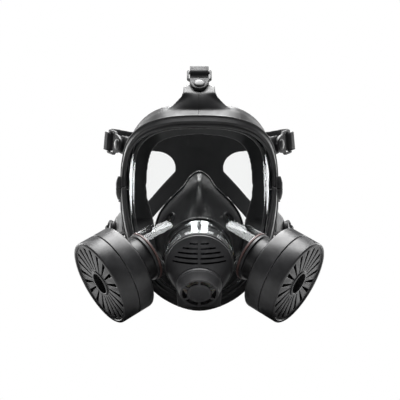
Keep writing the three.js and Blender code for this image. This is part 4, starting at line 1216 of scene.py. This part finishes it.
def build_exhalation_valve():
    e = EXHALE_SEAT
    seat = spoked_seat(
        "exhale_seat_fine", e["inner"], EXHALE_BORE - GAP, e["rear"], e["face"], -14, -11.6, exhale_frame,
    )
    flange = ring("flange", e["inner"], e["flange"], e["face"] - 1.5, e["face"], exhale_frame)
    flange = rounded(flange, 0.3, 2)
    put(together(seat.name, seat, flange), PLASTIC, "black_plastic", "exhalation_valve_seat")
    leaf = valve_leaf("exhale_leaf", 16, e["face"] + GAP, 0.8, 5, 1, exhale_frame)
    put(leaf, PALE, "pale_silicone", "exhalation_valve_disc")
    rear = e["face"] + 0.5
    face_radius = EXHALE_FACE
    s = EXHALE_SLOTS
    half = 180 / s["count"] - math.degrees(s["bar"] / s["inner"])
    middles = [360 * (k + 0.5) / s["count"] + 90 for k in range(s["count"])]
    slots = [arc_slot(s["inner"], s["outer"], middle, half) for middle in middles]
    face = plate("face", circle(face_radius - 0.9), slots, -2, 0, exhale_frame, 0.3)
    cone = turned("cone", [
        (face_radius - 1.1, -1.9), (face_radius - 1.1, 0.0),
        (face_radius - 0.7, 0.08), (face_radius - 0.2, -0.15),
        (face_radius, -0.8), (21.1, -8.2), (21.5, -8.7), (21.7, rear), (19.6, rear),
        (face_radius - 2, -2.6),
    ], exhale_frame)
    trim = turned("trim", [
        (9.6, -0.3), (9.6, 0.05), (9.9, 0.22), (10.4, 0.22), (10.7, 0.05), (10.7, -0.3),
    ], exhale_frame)
    nub = turned("nub", [(0, -0.5), (0.9, -0.5), (0.9, 0.15), (0.6, 0.35), (0, 0.4)], exhale_frame, 24)
    cover = together("exhale_cover_fine", face, cone, trim, nub)
    put(cover, COVER_PLASTIC, "black_plastic", "exhalation_valve_cover")


# ---------------------------------------------------------------- filter ports

SEAT = {"inner": 14, "low": -1.5, "high": 2}


def build_ports():
    bore, end = THREAD + 0.4, CONNECTOR_END
    thread = []
    for k in range(5):
        z = SEAT["high"] + 1.2 + k * 2.3
        thread += [(bore, z), (bore + 0.5, z + 0.5), (bore + 0.5, z + 1.1), (bore, z + 1.6)]
    profile = [
        (SEAT["inner"], SEAT["high"]), (bore, SEAT["high"]), *thread, (bore, end - 0.3), (bore + 0.3, end),
        (22.1, end), (22.4, end - 0.3), (22.4, 5.6), (22.7, 5.4),
        (24.3, 5.4), (24.6, 5.1), (24.6, 2.9), (24.3, 2.6),
        (22.8, 2.6), (22.8, SEAT["low"]), (SEAT["inner"], SEAT["low"]),
    ]
    for name, side in SIDES.items():
        m = port_frame(side)
        shell = turned("shell", profile, m)
        spokes = spoked_seat(
            "spokes", SEAT["inner"] - 1, SEAT["inner"] + 1, SEAT["low"], SEAT["high"] - 1, SEAT["low"], 0.5, m
        )
        put(together(f"connector_{name}", shell, spokes), PLASTIC, "black_plastic", f"port_connector_{name}")
        seal = rounded(ring(f"port_seal_{name}", 23.4, 25.2, GAP, 2.3, m), 0.4)
        put(seal, GASKET, "pink_gasket", f"port_gasket_{name}")
        leaf = valve_leaf(f"inhale_leaf_{name}", 17, SEAT["low"] - GAP, 0.7, 3.4, -1, m)
        put(leaf, PALE, "pale_silicone", f"inhalation_valve_disc_{name}")


# ---------------------------------------------------------------- canister filters

STEM_BORE = 16.5
SHOULDER = CONNECTOR_END + 2.3
FILTER_SLOTS = 20


def filter_housing(name, m):
    f = FILTER
    radius, rear, joint, wall = f["radius"], f["rear"], f["joint"], f["wall"]
    stem = THREAD - 0.3
    thread = []
    for k in range(4):
        z = 5 + k * 2.3
        thread += [(stem, z), (stem - 0.5, z + 0.5), (stem - 0.5, z + 1.1), (stem, z + 1.6)]
    profile = [
        (STEM_BORE, 4), (stem - 0.3, 4), (stem, 4.3), *thread, (stem, SHOULDER), (23.1, SHOULDER),
        (23.4, SHOULDER + 0.3), (23.4, rear - 0.4), (23.8, rear), (31, rear), (31.4, rear + 0.5),
        (33.4, rear + 0.5), (33.8, rear), (radius - 2.2, rear), (radius - 1.0, rear + 0.3),
        (radius - 0.3, rear + 1.0), (radius, rear + 2.2),
        (radius, joint - GAP - 0.5), (radius - 0.4, joint - GAP), (radius - wall, joint - GAP),
        (radius - wall, rear + wall), (STEM_BORE, rear + wall),
    ]
    return turned(f"filter_body_{name}", profile, m)


def filter_cover(name, m):
    f = FILTER
    radius, joint, front, wall, eye = (f[k] for k in ("radius", "joint", "front", "wall", "eye"))
    face = front - 1.4
    inner = radius - wall
    shell = turned("shell", [
        (inner - 2.2, face - wall), (inner - 2.2, face), (radius - 3.5, face), (radius - 3.1, front - 0.3),
        (radius - 2.8, front), (radius - 1.6, front),
        (radius - 0.9, front - 0.2), (radius - 0.25, front - 0.8),
        (radius, front - 1.7), (radius, joint + GAP + 0.5), (radius - 0.4, joint + GAP), (inner, joint + GAP),
        (inner, face - wall),
    ], m)
    slots = []
    start, end = eye + 4.4, inner - 3.4
    for k in range(FILTER_SLOTS):
        a = 2 * math.pi * k / FILTER_SLOTS
        c, s = math.cos(a), math.sin(a)
        outline = [(start, -0.55), (end - 1.2, -2.0), (end - 0.3, -1.5), (end, -0.6)]
        outline += [(x, -y) for x, y in reversed(outline)]
        slots.append([(x * c - y * s, x * s + y * c) for x, y in outline])
    openings = [*slots, circle(eye + 1.6, 64)]
    face_plate = plate("face", circle(inner - 2.0), openings, face - wall, face, m, 0.3)
    cup = turned("cup", [
        (0, face - 12), (eye - 0.6, face - 12), (eye, face - 11.4),
        (eye, front - 0.7), (eye + 0.3, front - 0.4),
        (eye + 2.1, front - 0.4), (eye + 2.5, front - 0.7), (eye + 2.8, face - 0.2), (eye + 2.8, face - wall),
        (eye + 1.3, face - wall), (eye + 1.3, face - 13.2), (0, face - 13.2),
    ], m, 64)
    return together(f"filter_cover_{name}", shell, face_plate, cup)


def build_filters():
    f = FILTER
    for name, side in SIDES.items():
        m = port_frame(side)
        seal = ring(f"filter_seal_{name}", THREAD + 0.2, 23, CONNECTOR_END + GAP, SHOULDER - GAP, m)
        seal = rounded(seal, 0.4)
        put(seal, SILICONE, "black_silicone", f"filter_gasket_{name}")
        put(filter_housing(name, m), FILTER_PLASTIC, "black_plastic", f"filter_housing_{name}")
        put(filter_cover(name, m), FILTER_PLASTIC, "black_plastic", f"filter_front_cover_{name}")
        bed = f["radius"] - f["wall"] - GAP
        media = turned(f"filter_bed_{name}", [
            (0, f["rear"] + f["wall"] + GAP), (bed, f["rear"] + f["wall"] + GAP),
            (bed, 42.4), (bed - 0.6, 43), (0, 43),
        ], m)
        put(media, MEDIA, "filter_media", f"filter_media_{name}")


# ---------------------------------------------------------------- object

build_visor()
build_frame_half("visor_frame_upper", 1)
build_frame_half("visor_frame_lower", -1)
build_frame_screws()
build_facepiece()
for place in BUCKLE_PLACES:
    build_buckle(*place)
build_harness()
build_nose_cup()
build_nose_cup_valves()
build_speech_housing()
build_front_cover()
build_exhalation_valve()
build_ports()
build_filters()

# ---------------------------------------------------------------- floor, light and camera

FLOOR_Z = -0.131
CAMERA = {"at": (0.00075, -1.1, -0.0107), "lens": 92.5, "sensor": 36}


def pale_paper():
    """White to the camera; what it sends back onto the object is dimmer."""
    n = Nodes("pale_paper")
    n.link(n.ramp(n.noise(3, 3), (0.2, (0.34, 0.34, 0.34)), (0.8, (0.38, 0.38, 0.38))), "Base Color")
    n.set(Roughness=0.9, Specular_IOR_Level=0.1)
    path = n.add("LightPath")
    white = n.add("Emission", {"Color": (1, 1, 1, 1), "Strength": 1.0})
    mix = n.add("MixShader", {0: path.outputs["Is Camera Ray"], 1: n.shader.outputs[0], 2: white.outputs[0]})
    n.tree.links.new(mix.outputs[0], n.output.inputs["Surface"])
    return n.material


def build_floor():
    mesh = bpy.data.meshes.new("floor")
    reach = 6.0
    square = ((-1, -1), (1, -1), (1, 1), (-1, 1))
    corners = [(reach * x, reach * y, FLOOR_Z) for x, y in square]
    mesh.from_pydata(corners, [], [(0, 1, 2, 3)])
    mesh.materials.append(pale_paper())
    floor = bpy.data.objects.new("floor", mesh)
    bpy.context.scene.collection.objects.link(floor)


def softbox(name, at, target, size, power):
    light = bpy.data.lights.new(name, "AREA")
    light.shape = "RECTANGLE"
    light.size, light.size_y = size
    light.energy = power
    obj = bpy.data.objects.new(name, light)
    obj.location = at
    way = Vector(target) - Vector(at)
    obj.rotation_euler = way.to_track_quat("-Z", "Y").to_euler()
    bpy.context.scene.collection.objects.link(obj)
    return obj


def build_lights():
    centre = (0, -0.03, 0)
    softbox("top_softbox", (0.0, 0.08, 1.2), centre, (1.5, 0.9), 50)
    softbox("rear_top_card", (0.0, 0.67, 0.88), centre, (0.55, 0.4), 14)
    softbox("rear_left_strip", (-0.95, 0.95, 0.15), centre, (0.35, 1.5), 13)
    softbox("rear_right_strip", (0.95, 0.95, 0.15), centre, (0.35, 1.5), 11)


def build_world():
    """White behind the object as the camera sees it, and a dimmer grey for what lights it."""
    world = bpy.data.worlds.new("studio")
    world.use_nodes = True
    tree = world.node_tree
    background = tree.nodes["Background"]
    path = tree.nodes.new("ShaderNodeLightPath")
    white = tree.nodes.new("ShaderNodeBackground")
    white.inputs["Color"].default_value = (1, 1, 1, 1)
    background.inputs["Color"].default_value = (0.75, 0.76, 0.78, 1)
    background.inputs["Strength"].default_value = 0.09
    mix = tree.nodes.new("ShaderNodeMixShader")
    tree.links.new(path.outputs["Is Camera Ray"], mix.inputs[0])
    tree.links.new(background.outputs[0], mix.inputs[1])
    tree.links.new(white.outputs[0], mix.inputs[2])
    tree.links.new(mix.outputs[0], tree.nodes["World Output"].inputs["Surface"])
    bpy.context.scene.world = world


def build_camera():
    data = bpy.data.cameras.new("camera")
    data.lens = CAMERA["lens"]
    data.sensor_width = CAMERA["sensor"]
    data.clip_start, data.clip_end = 0.05, 20
    camera = bpy.data.objects.new("camera", data)
    camera.location = CAMERA["at"]
    camera.rotation_euler = (math.pi / 2, 0, 0)
    bpy.context.scene.collection.objects.link(camera)
    bpy.context.scene.camera = camera


build_floor()
build_lights()
build_world()
build_camera()
bpy.context.scene.view_settings.view_transform = "Standard"
